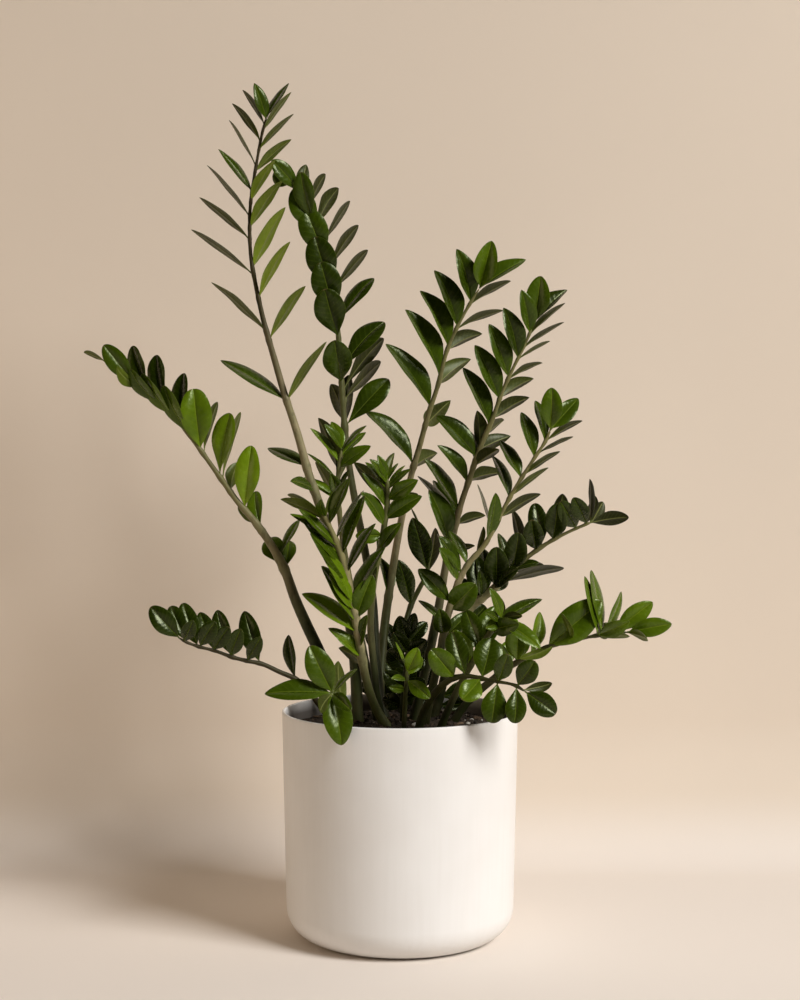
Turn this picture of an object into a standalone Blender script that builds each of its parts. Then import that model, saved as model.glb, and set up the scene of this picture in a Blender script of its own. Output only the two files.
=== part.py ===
"""Potted ZZ plant: round tapering planter, potting soil and eighteen
compound leaves (fronds).  Metres, +Z up, the front faces -Y."""
import math

import bmesh
import bpy
import numpy as np
from mathutils import Matrix, Vector

# ------------------------------------------------------------------ planter
RIM_R = 0.1500            # outer radius at the rim
FOOT_WALL_R = 0.1448      # outer radius just above the rounded foot
POT_H = 0.2880            # height of the planter
WALL = 0.0040             # wall thickness
FOOT_ROUND = 0.0400       # radius of the rounded foot
FLOOR = 0.0060            # thickness of the floor
LIP_ROUND = 0.0016        # rounding of the lip
TURN = 36                 # facets round the planter
SOIL_TOP = 0.2660         # soil level at the wall
SOIL_DOME = 0.0030        # the soil stands a little higher in the middle
GAP = 0.0004              # clearance between neighbouring pieces
BURIED = 0.0420           # how far a stalk goes down into the soil

# -------------------------------------------------- the front elevation grid
# The plant is drawn in front elevation as seen from EYE, on a sheet of
# columns (to the right) and rows (down).  One square is 1.27 mm in the plane
# of the planter's axis.  Each point also has a depth in squares, positive
# away from the front.
EYE = Vector((0.0, -2.25, 0.63))
DIP = 0.0332              # the line of sight dips by this angle
FAR = 1773.0              # squares per unit slope
COL0, ROW0 = 400.3, 500.0
SQ = 2.25 / FAR           # one square in metres

LEAF_SLIM = 0.40          # width of a leaflet against its length
LEAF_THICK = 0.0017       # at the midrib
FOLD = 0.24               # how far the two halves rise from the midrib
BOW = 0.055               # how far the blade bows up between its ends


def sight(col, row, depth):
    a = (col - COL0) / FAR
    b = (ROW0 - row) / FAR
    ry = math.cos(DIP) + b * math.sin(DIP)
    rz = -math.sin(DIP) + b * math.cos(DIP)
    s = (depth * SQ - EYE.y) / ry
    return Vector((a * s, EYE.y + ry * s, EYE.z + rz * s))


# ----------------------------------------------------------------- fronds
# stalk: (column, row, depth, radius in squares) from the soil to the tip.
# leaflets: (base column, base row, tip column, tip row, seen width, tip
# depth less base depth).  A negative width shows the underside.
FRONDS = {}

FRONDS["frond_tall_left"] = dict(
    stalk=[(357, 722, 20, 6.2), (357, 690, 21, 6.0), (354, 650, 22, 5.8),
           (348, 610, 24, 5.6), (340, 572, 26, 5.4), (331, 538, 28, 5.2),
           (318, 500, 30, 4.7), (309, 474, 30, 4.4), (303, 452, 30, 4.2),
           (296, 428, 30, 4.0), (285, 395, 30, 3.6), (275, 360, 28, 3.3),
           (265, 325, 26, 2.7), (257, 290, 24, 2.2), (251, 255, 22, 1.9),
           (250, 220, 20, 1.7), (252, 193, 18, 1.6), (257, 162, 16, 1.4),
           (262, 135, 14, 1.3), (267, 117, 12, 1.0)],
    leaves=[(266, 119, 255, 83, 13, -8), (268, 116, 289, 83, 7, 12),
            (264, 124, 243, 90, -6, 10), (260, 141, 233, 103, -7, -6),
            (256, 165, 230, 120, -3, 14), (250, 190, 219, 149, 9, -10),
            (249, 216, 208, 165, -5, 8), (249, 240, 200, 197, -7, -8),
            (251, 276, 192, 229, -6, 6), (264, 332, 213, 281, -8, -6),
            (284, 402, 221, 360, 13, 10), (305, 467, 268, 448, 13, 28),
            (310, 490, 291, 481, 10, -34),
            (265, 131, 291, 92, -6, 6), (262, 150, 293, 113, -6, -8),
            (256, 172, 291, 139, -9, 14), (252, 201, 275, 160, -10, -14),
            (251, 229, 281, 180, -12, -12), (252, 268, 285, 207, -14, 8),
            (259, 298, 289, 241, -10, -6), (270, 341, 304, 285, -10, 4),
            (288, 400, 326, 341, -9, -8)])

FRONDS["frond_tall_braid"] = dict(
    stalk=[(386, 723, 42, 5.0), (380, 694, 50, 4.8), (376, 650, 60, 4.6),
           (373, 600, 74, 4.4), (367, 560, 78, 4.2), (359, 520, 82, 4.1),
           (351, 475, 86, 3.5), (345, 427, 90, 3.2), (342, 386, 92, 2.9),
           (339, 338, 94, 2.6), (334, 300, 94, 2.6), (326, 262, 92, 2.2),
           (317, 233, 88, 1.9), (306, 205, 82, 1.6), (297, 181, 74, 1.4),
           (286, 167, 66, 1.0)],
    leaves=[(343, 383, 335, 341, 31, -34), (340, 339, 325, 289, 33, -26),
            (337, 316, 321, 262, 32, -18), (332, 290, 315, 237, 32, -16),
            (326, 263, 305, 208, 30, -14), (318, 238, 295, 188, 28, -12),
            (314, 224, 301, 172, 22, -24), (303, 196, 272, 160, 18, -20),
            (297, 183, 273, 174, 20, 2), (303, 198, 306, 165, -14, 16),
            (312, 208, 325, 174, -9, 18), (320, 228, 338, 188, -14, 20),
            (326, 246, 350, 201, -8, 16), (331, 270, 358, 225, -11, 14),
            (334, 292, 368, 250, -10, 12), (337, 322, 373, 277, 15, 10),
            (341, 372, 384, 321, 24, 4), (343, 392, 383, 338, -16, 22),
            (344, 402, 381, 362, -15, 34), (346, 427, 389, 379, 26, 6),
            (346, 430, 350, 375, -16, 22), (345, 424, 333, 385, -16, 30)])

FRONDS["frond_front_left"] = dict(
    stalk=[(387, 726, -6, 4.2), (376, 708, -8, 4.1), (367, 682, -12, 4.0),
           (361, 650, -18, 4.0), (356, 618, -24, 3.9), (350, 590, -30, 3.6),
           (343, 560, -36, 3.2), (335, 538, -40, 2.6), (327, 521, -44, 1.9),
           (321, 511, -46, 1.2)],
    leaves=[(358, 663, 340, 648, -14, 30), (358, 658, 329, 628, 13, -10),
            (356, 634, 304, 592, 17, -8), (352, 612, 330, 573, 15, -26),
            (349, 592, 316, 543, 16, -16), (344, 572, 303, 519, 13, -18),
            (341, 558, 304, 514, 11, 8), (335, 543, 291, 513, 9, -4),
            (326, 520, 281, 499, -11, 8), (322, 512, 288, 495, -6, 30),
            (324, 516, 321, 500, 9, -24),
            (354, 624, 322, 566, 15, -22), (351, 603, 324, 553, 14, -30),
            (347, 584, 312, 533, 14, -26), (338, 549, 299, 509, 10, -18),
            (360, 648, 367, 615, 11, -14), (357, 620, 373, 575, 21, -10),
            (352, 600, 385, 545, 13, 6), (347, 575, 375, 523, 10, -8),
            (341, 558, 364, 495, 12, -4), (336, 541, 363, 490, 6, 10),
            (328, 526, 350, 478, 13, -8), (325, 517, 343, 484, -7, 10)])

FRONDS["frond_young_left"] = dict(
    stalk=[(378, 722, 34, 3.4), (372, 695, 36, 3.4), (366, 660, 40, 3.3),
           (358, 620, 44, 3.2), (350, 580, 47, 3.0), (343, 540, 50, 2.8),
           (339, 505, 52, 2.5), (338, 482, 52, 2.2), (340, 462, 52, 1.8),
           (342, 448, 52, 1.2)],
    leaves=[(342, 450, 325, 424, 9, -10), (342, 450, 332, 421, 13, 14),
            (342, 452, 366, 425, 5, -6), (341, 458, 366, 432, 10, 14),
            (341, 468, 371, 446, 14, -16), (340, 463, 311, 428, 8, -8),
            (339, 472, 319, 418, -18, 20), (338, 480, 308, 453, 4, -12),
            (338, 492, 331, 474, 13, -26), (339, 500, 304, 477, 9, -8),
            (340, 510, 316, 462, -12, 18), (339, 494, 350, 470, 5, -12),
            (339, 486, 356, 436, -12, 24)])

FRONDS["frond_young_mid"] = dict(
    stalk=[(384, 726, 10, 3.8), (378, 700, 8, 3.7), (374, 665, 4, 3.6),
           (371, 630, 0, 3.4), (372, 600, -4, 3.2), (376, 570, -8, 3.0),
           (382, 540, -12, 2.7), (386, 517, -14, 2.4), (388, 495, -16, 2.0),
           (387, 476, -17, 1.2)],
    leaves=[(387, 478, 378, 455, 9, -6), (387, 478, 394, 453, -8, 14),
            (387, 484, 371, 459, 9, -12), (387, 490, 366, 462, 9, 4),
            (387, 503, 356, 462, -15, 18), (387, 508, 363, 472, 10, -8),
            (387, 482, 398, 463, 5, 16), (388, 486, 405, 465, 4, 4),
            (388, 490, 411, 469, 7, -10), (388, 500, 418, 480, 16, -18),
            (387, 508, 418, 494, -9, 20), (386, 520, 422, 496, 17, -10),
            (385, 527, 362, 492, 13, -22), (383, 535, 356, 536, 16, -4),
            (380, 551, 400, 523, 13, -20), (377, 560, 379, 532, 7, 12),
            (373, 596, 377, 567, 7, -14)])

FRONDS["frond_mid_right"] = dict(
    stalk=[(380, 721, 66, 5.0), (380, 690, 78, 4.9), (382, 655, 90, 4.8),
           (386, 616, 102, 4.5), (391, 582, 104, 4.2), (397, 545, 106, 3.8),
           (403, 513, 106, 3.5), (412, 473, 104, 3.2), (420, 446, 102, 2.9),
           (429, 413, 100, 2.6), (438, 386, 98, 2.3), (447, 351, 94, 2.0),
           (458, 326, 90, 1.7), (470, 304, 86, 1.5), (480, 288, 82, 1.0)],
    leaves=[(480, 288, 492, 241, 24, -14), (481, 287, 526, 259, 16, 4),
            (470, 303, 458, 249, 21, -12), (457, 327, 436, 270, 21, -10),
            (448, 347, 422, 290, 20, -6), (439, 378, 407, 309, 20, -8),
            (430, 408, 386, 344, 20, -6), (412, 465, 367, 410, 18, -4),
            (470, 305, 511, 281, -8, 12), (457, 329, 503, 310, -7, 10),
            (447, 352, 481, 333, -14, 24), (438, 384, 470, 359, -17, 26),
            (425, 426, 450, 401, -19, 30), (413, 468, 437, 453, -14, 38),
            (390, 597, 380, 556, 14, 16)])

FRONDS["frond_back_dark"] = dict(
    stalk=[(402, 718, 84, 3.4), (401, 690, 94, 3.4), (401, 660, 108, 3.3),
           (404, 632, 120, 3.2), (411, 606, 134, 3.0), (420, 588, 136, 2.7),
           (428, 570, 136, 2.3), (425, 545, 132, 1.8), (418, 522, 126, 1.4),
           (411, 507, 122, 1.0)],
    leaves=[(428, 572, 413, 518, 25, -16), (428, 574, 436, 528, -14, 18),
            (411, 606, 399, 560, 20, -16), (404, 642, 400, 616, 18, -18),
            (405, 648, 415, 613, 12, 14), (404, 652, 427, 622, 12, -12),
            (402, 660, 386, 622, 16, 10), (402, 672, 432, 644, 22, 20),
            (402, 680, 374, 648, 22, 12), (402, 690, 436, 668, 24, 4),
            (402, 694, 376, 672, 22, 16), (402, 702, 438, 694, 22, 8),
            (402, 706, 370, 696, 20, 16), (402, 698, 409, 656, 24, -18),
            (402, 692, 361, 664, 22, 18), (402, 701, 356, 684, 18, 12),
            (402, 666, 366, 634, 20, 22)])

FRONDS["frond_right"] = dict(
    stalk=[(414, 724, 26, 5.2), (420, 694, 24, 5.1), (427, 664, 22, 5.0),
           (434, 632, 19, 4.9), (440, 602, 16, 4.4), (446, 566, 13, 3.9),
           (453, 535, 10, 3.5), (460, 508, 8, 3.1), (470, 478, 5, 2.8),
           (480, 449, 2, 2.5), (492, 421, -2, 2.2), (502, 393, -6, 1.9),
           (514, 367, -10, 1.6), (526, 343, -13, 1.3), (534, 322, -16, 1.0)],
    leaves=[(535, 321, 541, 276, 24, -10), (534, 323, 567, 289, 15, 12),
            (530, 334, 522, 290, 16, -18), (518, 359, 505, 308, 19, -16),
            (509, 379, 490, 324, 19, -12), (500, 400, 476, 345, 20, -10),
            (490, 426, 465, 367, 16, -6), (477, 458, 437, 415, 19, -4),
            (530, 335, 565, 303, -6, 6), (524, 348, 564, 322, -5, 4),
            (518, 360, 550, 341, -4, 12), (508, 380, 542, 362, -6, 10),
            (500, 398, 533, 378, -12, 14), (492, 419, 529, 397, -13, 8),
            (480, 449, 510, 436, -15, 22), (486, 435, 504, 420, -7, 34),
            (480, 450, 478, 411, -15, 20), (475, 462, 461, 423, 11, 26),
            (468, 484, 439, 445, 13, -14), (459, 512, 426, 458, 13, -16),
            (456, 522, 418, 476, 9, 10), (454, 532, 434, 480, 15, 30),
            (450, 550, 430, 490, 19, -20),
            (470, 480, 502, 472, -13, 24), (474, 468, 499, 449, -13, -26),
            (456, 524, 485, 515, -10, 18), (452, 540, 466, 556, -9, 22),
            (448, 556, 475, 545, -8, -14), (448, 560, 438, 534, 8, 22)])

FRONDS["frond_right_low"] = dict(
    stalk=[(424, 728, -6, 4.2), (430, 700, -12, 4.1), (437, 668, -18, 4.0),
           (444, 636, -24, 3.8), (450, 608, -30, 3.3), (458, 583, -34, 3.0),
           (469, 563, -38, 2.7), (485, 545, -42, 2.3), (498, 520, -46, 2.0),
           (511, 496, -50, 1.8), (523, 476, -54, 1.6), (536, 456, -58, 1.5),
           (546, 441, -60, 1.3), (551, 429, -62, 1.0)],
    leaves=[(551, 431, 552, 388, 21, -10), (551, 430, 579, 398, 18, 14),
            (545, 443, 537, 400, 12, 10), (535, 458, 522, 412, 14, 6),
            (546, 441, 582, 420, -7, 6), (538, 454, 573, 436, -4, 4),
            (524, 476, 560, 451, -6, 6), (511, 497, 548, 467, -6, 4),
            (499, 519, 540, 493, -11, 6), (522, 478, 500, 440, 13, 18),
            (509, 499, 494, 455, 11, 20), (487, 543, 496, 493, 13, -14),
            (476, 556, 484, 527, -5, 16), (492, 533, 479, 484, 3, 20),
            (463, 575, 440, 536, 12, -14), (468, 565, 450, 530, 10, 12),
            (459, 582, 440, 548, 13, -26), (452, 604, 419, 569, 18, -10),
            (447, 626, 419, 600, 7, 6), (450, 610, 476, 584, 26, -12),
            (445, 634, 440, 610, 18, -26), (444, 640, 470, 612, 16, 14)])

FRONDS["frond_right_arch"] = dict(
    stalk=[(432, 722, 52, 4.8), (440, 696, 52, 4.8), (448, 664, 50, 4.7),
           (456, 636, 46, 4.6), (466, 614, 42, 4.4), (480, 600, 38, 4.1),
           (497, 586, 34, 3.6), (513, 569, 30, 3.1), (533, 553, 26, 2.5),
           (553, 540, 22, 2.0), (573, 530, 18, 1.6), (592, 522, 14, 1.1)],
    leaves=[(590, 523, 629, 517, -15, -4), (592, 522, 603, 502, -15, 24),
            (591, 522, 591, 479, -7, 6), (588, 525, 574, 498, 17, -22),
            (577, 529, 561, 502, 20, -24), (584, 526, 595, 496, -10, 24),
            (553, 541, 558, 504, 23, -26), (557, 539, 563, 494, -18, 12),
            (537, 551, 532, 520, 21, -30), (541, 547, 535, 503, 20, 6),
            (512, 570, 519, 533, 24, -28), (523, 562, 513, 510, -12, 12),
            (506, 576, 500, 533, 12, 10), (496, 588, 497, 548, 25, -24),
            (512, 571, 539, 562, 8, -8), (509, 574, 544, 565, -9, 14),
            (500, 584, 564, 567, -10, -10), (494, 589, 517, 569, 13, -30),
            (490, 592, 508, 578, 14, 22), (482, 599, 480, 570, 11, -18),
            (470, 611, 486, 588, 16, 24), (480, 600, 476, 556, 22, 14),
            (488, 594, 483, 548, 20, 26), (466, 614, 462, 578, 20, 20),
            (457, 634, 486, 606, 24, 12), (451, 654, 480, 624, 24, 16),
            (447, 668, 474, 650, 22, 22), (440, 697, 472, 688, 20, 16),
            (437, 706, 468, 704, 14, 12)])

FRONDS["frond_right_front"] = dict(
    stalk=[(440, 730, -18, 3.4), (450, 706, -28, 3.4), (463, 680, -40, 3.3),
           (476, 656, -52, 3.1), (488, 636, -64, 2.7), (497, 624, -74, 2.2),
           (502, 618, -80, 1.4)],
    leaves=[(502, 619, 490, 588, 10, -8), (502, 619, 499, 596, -9, 14),
            (502, 619, 523, 615, -8, -14), (501, 620, 519, 622, 9, 6),
            (500, 621, 486, 613, 8, -18), (498, 623, 486, 628, 11, -12),
            (496, 626, 542, 598, 13, 16), (500, 621, 541, 648, 14, -16),
            (492, 630, 519, 624, 18, -26), (476, 656, 496, 606, 24, 16),
            (480, 648, 466, 610, 20, 20), (470, 664, 454, 630, 20, -12)])

FRONDS["frond_low_right"] = dict(
    stalk=[(452, 724, 22, 4.0), (468, 702, 14, 4.0), (490, 682, 6, 3.9),
           (516, 663, -2, 3.0), (545, 648, -10, 2.3), (572, 641, -16, 1.8),
           (600, 635, -22, 1.4), (629, 632, -28, 1.0)],
    leaves=[(628, 632, 672, 624, 19, -10), (612, 634, 653, 602, 20, -2),
            (628, 632, 649, 639, -9, -26), (594, 637, 630, 636, -8, -14),
            (597, 636, 612, 625, -16, 30), (596, 636, 629, 622, 16, -24),
            (547, 647, 601, 601, 35, -8), (572, 641, 563, 613, -7, -22),
            (598, 636, 586, 576, 10, 16), (601, 634, 592, 570, 11, 30),
            (604, 634, 623, 592, 9, 20),
            (556, 645, 520, 659, -10, -14), (517, 662, 519, 622, 25, -20),
            (505, 671, 487, 640, 26, -16), (530, 655, 541, 612, 14, 20),
            (498, 676, 512, 640, 18, 16)])

FRONDS["frond_low_front"] = dict(
    stalk=[(418, 733, -36, 3.8), (424, 712, -46, 3.8), (436, 692, -60, 3.7),
           (452, 679, -76, 2.7), (468, 676, -88, 2.2), (484, 679, -98, 1.8),
           (500, 682, -106, 1.5), (515, 685, -112, 1.3), (526, 692, -116, 1.0)],
    leaves=[(525, 692, 556, 714, 22, -8), (523, 690, 552, 684, -10, 8),
            (517, 686, 535, 661, 21, -10), (516, 686, 515, 723, 20, -12),
            (498, 682, 492, 723, 24, -10), (481, 678, 463, 699, 22, -22),
            (455, 678, 432, 650, 24, -14), (466, 677, 452, 632, 22, 10),
            (482, 678, 492, 638, 28, 12), (498, 682, 508, 655, 18, -20)])

FRONDS["frond_low_left"] = dict(
    stalk=[(336, 724, 12, 3.2), (322, 708, 8, 3.1), (310, 692, 4, 3.0),
           (296, 679, 0, 2.7), (280, 672, -4, 2.5), (263, 664, -8, 2.3),
           (248, 661, -12, 2.1), (232, 657, -16, 1.9), (216, 651, -20, 1.7),
           (200, 647, -24, 1.5), (186, 642, -28, 1.2), (178, 637, -30, 1.0)],
    leaves=[(180, 638, 151, 607, 22, -6), (188, 643, 171, 606, 19, 6),
            (198, 646, 183, 603, 20, 8), (184, 642, 193, 621, 15, -18),
            (200, 647, 215, 622, 18, -14), (214, 651, 229, 627, 17, -14),
            (231, 657, 241, 629, 17, -16), (247, 661, 261, 637, 15, -18),
            (214, 650, 200, 612, 17, 10), (233, 657, 217, 610, 19, 12),
            (260, 664, 244, 611, 21, 10), (296, 679, 288, 635, 12, 8)])

FRONDS["frond_front_rosette"] = dict(
    stalk=[(352, 737, -50, 3.4), (348, 722, -62, 3.4), (343, 708, -78, 3.2),
           (337, 698, -92, 2.6), (332, 692, -102, 1.6)],
    leaves=[(333, 693, 265, 693, 20, -6), (333, 693, 310, 646, 27, -6),
            (346, 713, 338, 661, -17, 8), (334, 693, 351, 710, 14, -24),
            (334, 693, 357, 668, 6, 6), (332, 693, 342, 745, 28, -16),
            (333, 693, 320, 712, -12, -30)])

FRONDS["frond_small_front"] = dict(
    stalk=[(404, 731, -30, 2.4), (405, 708, -44, 2.3), (406, 690, -56, 2.1),
           (407, 678, -62, 1.6), (407, 668, -64, 1.0)],
    leaves=[(407, 672, 418, 648, 15, -6), (407, 676, 422, 656, 13, 18),
            (406, 680, 392, 678, 6, -14), (407, 680, 430, 698, 15, -14),
            (407, 670, 396, 642, 3, 6), (405, 690, 389, 687, 9, -12)])

FRONDS["frond_inner"] = dict(
    stalk=[(404, 728, 20, 3.2), (404, 705, 16, 3.2), (406, 680, 12, 3.0),
           (408, 660, 8, 2.6), (409, 645, 4, 2.0), (410, 636, 2, 1.2)],
    leaves=[(410, 637, 415, 613, 12, -6), (409, 642, 400, 617, 14, -8),
            (409, 643, 427, 622, 15, 8), (408, 653, 394, 633, 18, -12),
            (408, 656, 427, 640, 18, -12), (407, 668, 388, 650, 20, 10),
            (406, 675, 424, 656, 18, 4), (405, 690, 385, 672, 20, -14),
            (404, 694, 425, 680, 20, -10), (404, 702, 415, 690, 12, 2),
            (404, 706, 383, 698, 18, 12)])

FRONDS["frond_left_arch"] = dict(
    stalk=[(347, 726, -4, 5.8), (340, 700, -4, 5.8), (330, 675, -4, 5.7),
           (318, 648, -4, 5.6), (306, 623, -4, 5.4), (295, 598, -5, 5.0),
           (285, 570, -6, 4.5), (271, 544, -8, 3.9), (253, 519, -10, 3.3),
           (238, 502, -12, 2.8), (220, 477, -15, 2.4), (200, 449, -18, 2.1),
           (180, 423, -22, 1.8), (160, 404, -26, 1.6), (140, 388, -30, 1.4),
           (120, 373, -33, 1.2), (105, 361, -36, 1.0)],
    leaves=[(106, 362, 85, 352, -5, 14), (138, 386, 104, 345, 20, -10),
            (150, 396, 132, 346, 17, 6), (167, 411, 156, 355, 18, 6),
            (186, 431, 183, 373, 17, 8), (160, 404, 130, 370, 13, -22),
            (174, 417, 142, 374, 14, -18), (190, 436, 163, 386, 15, -16),
            (141, 389, 116, 368, -12, -28), (201, 450, 194, 389, 31, -10),
            (204, 454, 217, 402, -10, 14), (220, 476, 230, 413, 21, -8),
            (222, 480, 240, 412, -7, 14), (231, 492, 238, 463, -14, 26),
            (245, 510, 251, 446, 25, -10), (262, 531, 255, 491, 16, 16),
            (258, 525, 239, 507, -12, 20), (283, 567, 269, 538, 23, 16),
            (279, 558, 299, 520, 8, 14), (284, 570, 290, 540, 16, 26)])


# ------------------------------------------------------------------ scene
for ob in list(bpy.data.objects):
    bpy.data.objects.remove(ob, do_unlink=True)

PARTS = bpy.data.collections.new("parts")
CUTTERS = bpy.data.collections.new("cutters")
bpy.context.scene.collection.children.link(PARTS)
bpy.context.scene.collection.children.link(CUTTERS)


def material(name, rgb, rough, coat=0.0):
    m = bpy.data.materials.new(name)
    m.use_nodes = True
    b = m.node_tree.nodes["Principled BSDF"]
    b.inputs["Base Color"].default_value = (*rgb, 1.0)
    b.inputs["Roughness"].default_value = rough
    b.inputs["Coat Weight"].default_value = coat
    m.diffuse_color = (*rgb, 1.0)
    return m


def add(name, mesh, mat=None, coll=None):
    ob = bpy.data.objects.new(name, mesh)
    (coll or PARTS).objects.link(ob)
    if mat:
        mesh.materials.clear()
        mesh.materials.append(mat)
    if coll is CUTTERS:
        ob.hide_render = True
        ob.display_type = 'WIRE'
    return ob


def tidy(mesh, dist=1e-5, flat=False):
    bm = bmesh.new()
    bm.from_mesh(mesh)
    if dist:
        bmesh.ops.remove_doubles(bm, verts=bm.verts, dist=dist)
        bmesh.ops.dissolve_degenerate(bm, edges=bm.edges, dist=1e-6)
    if flat:
        bmesh.ops.dissolve_limit(bm, angle_limit=math.radians(1.0), verts=bm.verts,
                                 edges=bm.edges, use_dissolve_boundaries=False)
    bmesh.ops.recalc_face_normals(bm, faces=bm.faces)
    bm.to_mesh(mesh)
    bm.free()
    return mesh


def baked(ob, name):
    dg = bpy.context.evaluated_depsgraph_get()
    me = bpy.data.meshes.new_from_object(ob.evaluated_get(dg))
    me.name = name
    return me


def tube(name, pts, radii, sides=1):
    """A round rod along pts with its own radius at each point."""
    cu = bpy.data.curves.new(name, 'CURVE')
    cu.dimensions = '3D'
    cu.bevel_depth = 1.0
    cu.bevel_resolution = sides
    cu.use_fill_caps = True
    cu.twist_mode = 'MINIMUM'
    sp = cu.splines.new('POLY')
    sp.points.add(len(pts) - 1)
    for q, p, r in zip(sp.points, pts, radii):
        q.co = (*p, 1.0)
        q.radius = r
    ob = add(name, cu, coll=CUTTERS)
    me = tidy(baked(ob, name))
    bpy.data.objects.remove(ob, do_unlink=True)
    return me


def revolved(name, outline, mat, steps):
    """Half-section turned about the Z axis with a Screw modifier."""
    bm = bmesh.new()
    vs = [bm.verts.new((r, 0.0, z)) for r, z in outline]
    for a, b in zip(vs, vs[1:]):
        bm.edges.new((a, b))
    me = bpy.data.meshes.new(name)
    bm.to_mesh(me)
    bm.free()
    ob = add(name, me, mat)
    sc = ob.modifiers.new("turn", 'SCREW')
    sc.axis = 'Z'
    sc.angle = 2 * math.pi
    sc.steps = sc.render_steps = steps
    sc.use_merge_vertices = True
    sc.merge_threshold = 1e-5
    sc.use_normal_calculate = True
    new = tidy(baked(ob, name))
    bpy.data.objects.remove(ob, do_unlink=True)
    return add(name, new, mat)


def arc(cx, cz, r, a0, a1, n):
    return [(cx + r * math.cos(math.radians(a0 + (a1 - a0) * i / n)),
             cz + r * math.sin(math.radians(a0 + (a1 - a0) * i / n)))
            for i in range(n + 1)]


# ---------------------------------------------------------------- planter
def wall_r(z):
    """Outer radius of the tapering wall at height z."""
    return FOOT_WALL_R + (RIM_R - FOOT_WALL_R) * (z - FOOT_ROUND) / (POT_H - FOOT_ROUND)


def planter():
    rf = FOOT_ROUND
    cx = FOOT_WALL_R - rf
    ri = rf - WALL
    out = [(0.0, 0.0)]
    out += arc(cx, rf, rf, -90, 0, 5)
    out += [(wall_r(POT_H - LIP_ROUND), POT_H - LIP_ROUND)]
    out += [(RIM_R - 0.0005, POT_H - 0.0004), (RIM_R - 0.0016, POT_H)]
    out += [(RIM_R - WALL + 0.0010, POT_H), (RIM_R - WALL, POT_H - LIP_ROUND)]
    out += [(r, max(z, FLOOR)) for r, z in arc(cx, rf, ri, 0, -90, 5)]
    out += [(0.0, FLOOR)]
    keep = []
    for p in out:
        if not keep or (abs(p[0] - keep[-1][0]) + abs(p[1] - keep[-1][1])) > 1e-5:
            keep.append(p)
    return revolved("planter", keep, M_POT, TURN)


def soil_body(stalks):
    """Potting soil filling the planter, with a socket round every stalk."""
    rf = FOOT_ROUND
    cx = FOOT_WALL_R - rf
    ri = rf - WALL - GAP
    low = [(0.0, FLOOR + GAP)]
    low += [(r, max(z, FLOOR + GAP)) for r, z in arc(cx, rf, ri, -90, 0, 5)]
    low += [(wall_r(SOIL_TOP) - WALL - GAP, SOIL_TOP)]
    top = []
    for f in (0.55, 0.0):
        top.append((f * wall_r(SOIL_TOP), SOIL_TOP + SOIL_DOME * (1 - f * f)))
    keep = []
    for p in low + top:
        if not keep or (abs(p[0] - keep[-1][0]) + abs(p[1] - keep[-1][1])) > 1e-5:
            keep.append(p)
    ob = revolved("soil", keep, M_SOIL, TURN)
    box = bpy.data.collections.new("sockets")
    CUTTERS.children.link(box)
    for name, (pts, radii) in stalks.items():
        last = next(i for i, p in enumerate(pts) if p.z > SOIL_TOP + 0.012)
        run = list(zip(pts, radii))[:last + 1]
        line = [p.copy() for p, _ in run]
        line[0] -= (line[1] - line[0]).normalized() * 2 * GAP
        cut = tube("socket_" + name, line, [r * 1.06 + GAP for _, r in run], 1)
        add("socket_" + name, cut, coll=box)
        box.objects["socket_" + name].hide_render = True
        box.objects["socket_" + name].display_type = 'WIRE'
    m = ob.modifiers.new("sockets", 'BOOLEAN')
    m.operation = 'DIFFERENCE'
    m.solver = 'EXACT'
    m.operand_type = 'COLLECTION'
    m.collection = box
    new = tidy(baked(ob, "soil"), 0)
    ob.modifiers.clear()
    old = ob.data
    ob.data = new
    bpy.data.meshes.remove(old)
    ob.data.materials.clear()
    ob.data.materials.append(M_SOIL)
    return ob


# ----------------------------------------------------------------- fronds
def smooth_run(ctrl, step):
    """Evenly spaced stations on the smooth line through the drawn points."""
    P = [np.array([*sight(c, r, d)]) for c, r, d, _ in ctrl]
    R = [w * SQ for *_, w in ctrl]
    P = [2 * P[0] - P[1]] + P + [2 * P[-1] - P[-2]]
    R = [R[0]] + R + [R[-1]]
    dense, rad = [], []
    for i in range(1, len(P) - 2):
        for k in range(12):
            t = k / 12.0
            a, b, c, d = P[i - 1], P[i], P[i + 1], P[i + 2]
            dense.append(0.5 * ((2 * b) + (c - a) * t + (2 * a - 5 * b + 4 * c - d) * t * t
                                + (3 * b - a - 3 * c + d) * t ** 3))
            rad.append(R[i] + (R[i + 1] - R[i]) * t)
    dense.append(P[-2])
    rad.append(R[-2])
    dense = np.array(dense)
    rad = np.array(rad)
    s = np.concatenate([[0], np.cumsum(np.linalg.norm(np.diff(dense, axis=0), axis=1))])
    n = max(4, int(round(s[-1] / step)))
    q = np.linspace(0, s[-1], n + 1)
    pts = np.stack([np.interp(q, s, dense[:, k]) for k in range(3)], 1)
    return pts, np.interp(q, s, rad), dense


def stalk_run(f):
    pts, rad, dense = smooth_run(f["stalk"], f.get("step", 0.044))
    first = Vector(pts[0])
    ahead = (Vector(pts[1]) - first).normalized()
    keep = [(Vector(p), r) for p, r in zip(pts, rad)]
    # the foot of the stalk turns straight down into the soil
    foot = SOIL_TOP - BURIED
    a = first - ahead * 0.012
    a.z = min(a.z, SOIL_TOP - 0.008)
    b = Vector((a.x - ahead.x * 0.010, a.y - ahead.y * 0.010, foot))
    keep = [(b, rad[0] * 0.9), (a, rad[0])] + [k for k in keep if k[0].z > a.z + 0.022]
    line = []
    for (p, _), (q, _) in zip(keep[1:], keep[2:]):
        line += [np.array(p.lerp(q, i / 12.0)) for i in range(12)]
    line.append(np.array(keep[-1][0].lerp(keep[-2][0], 0.02)))
    return [k[0] for k in keep], [k[1] for k in keep], np.array(line)


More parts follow.
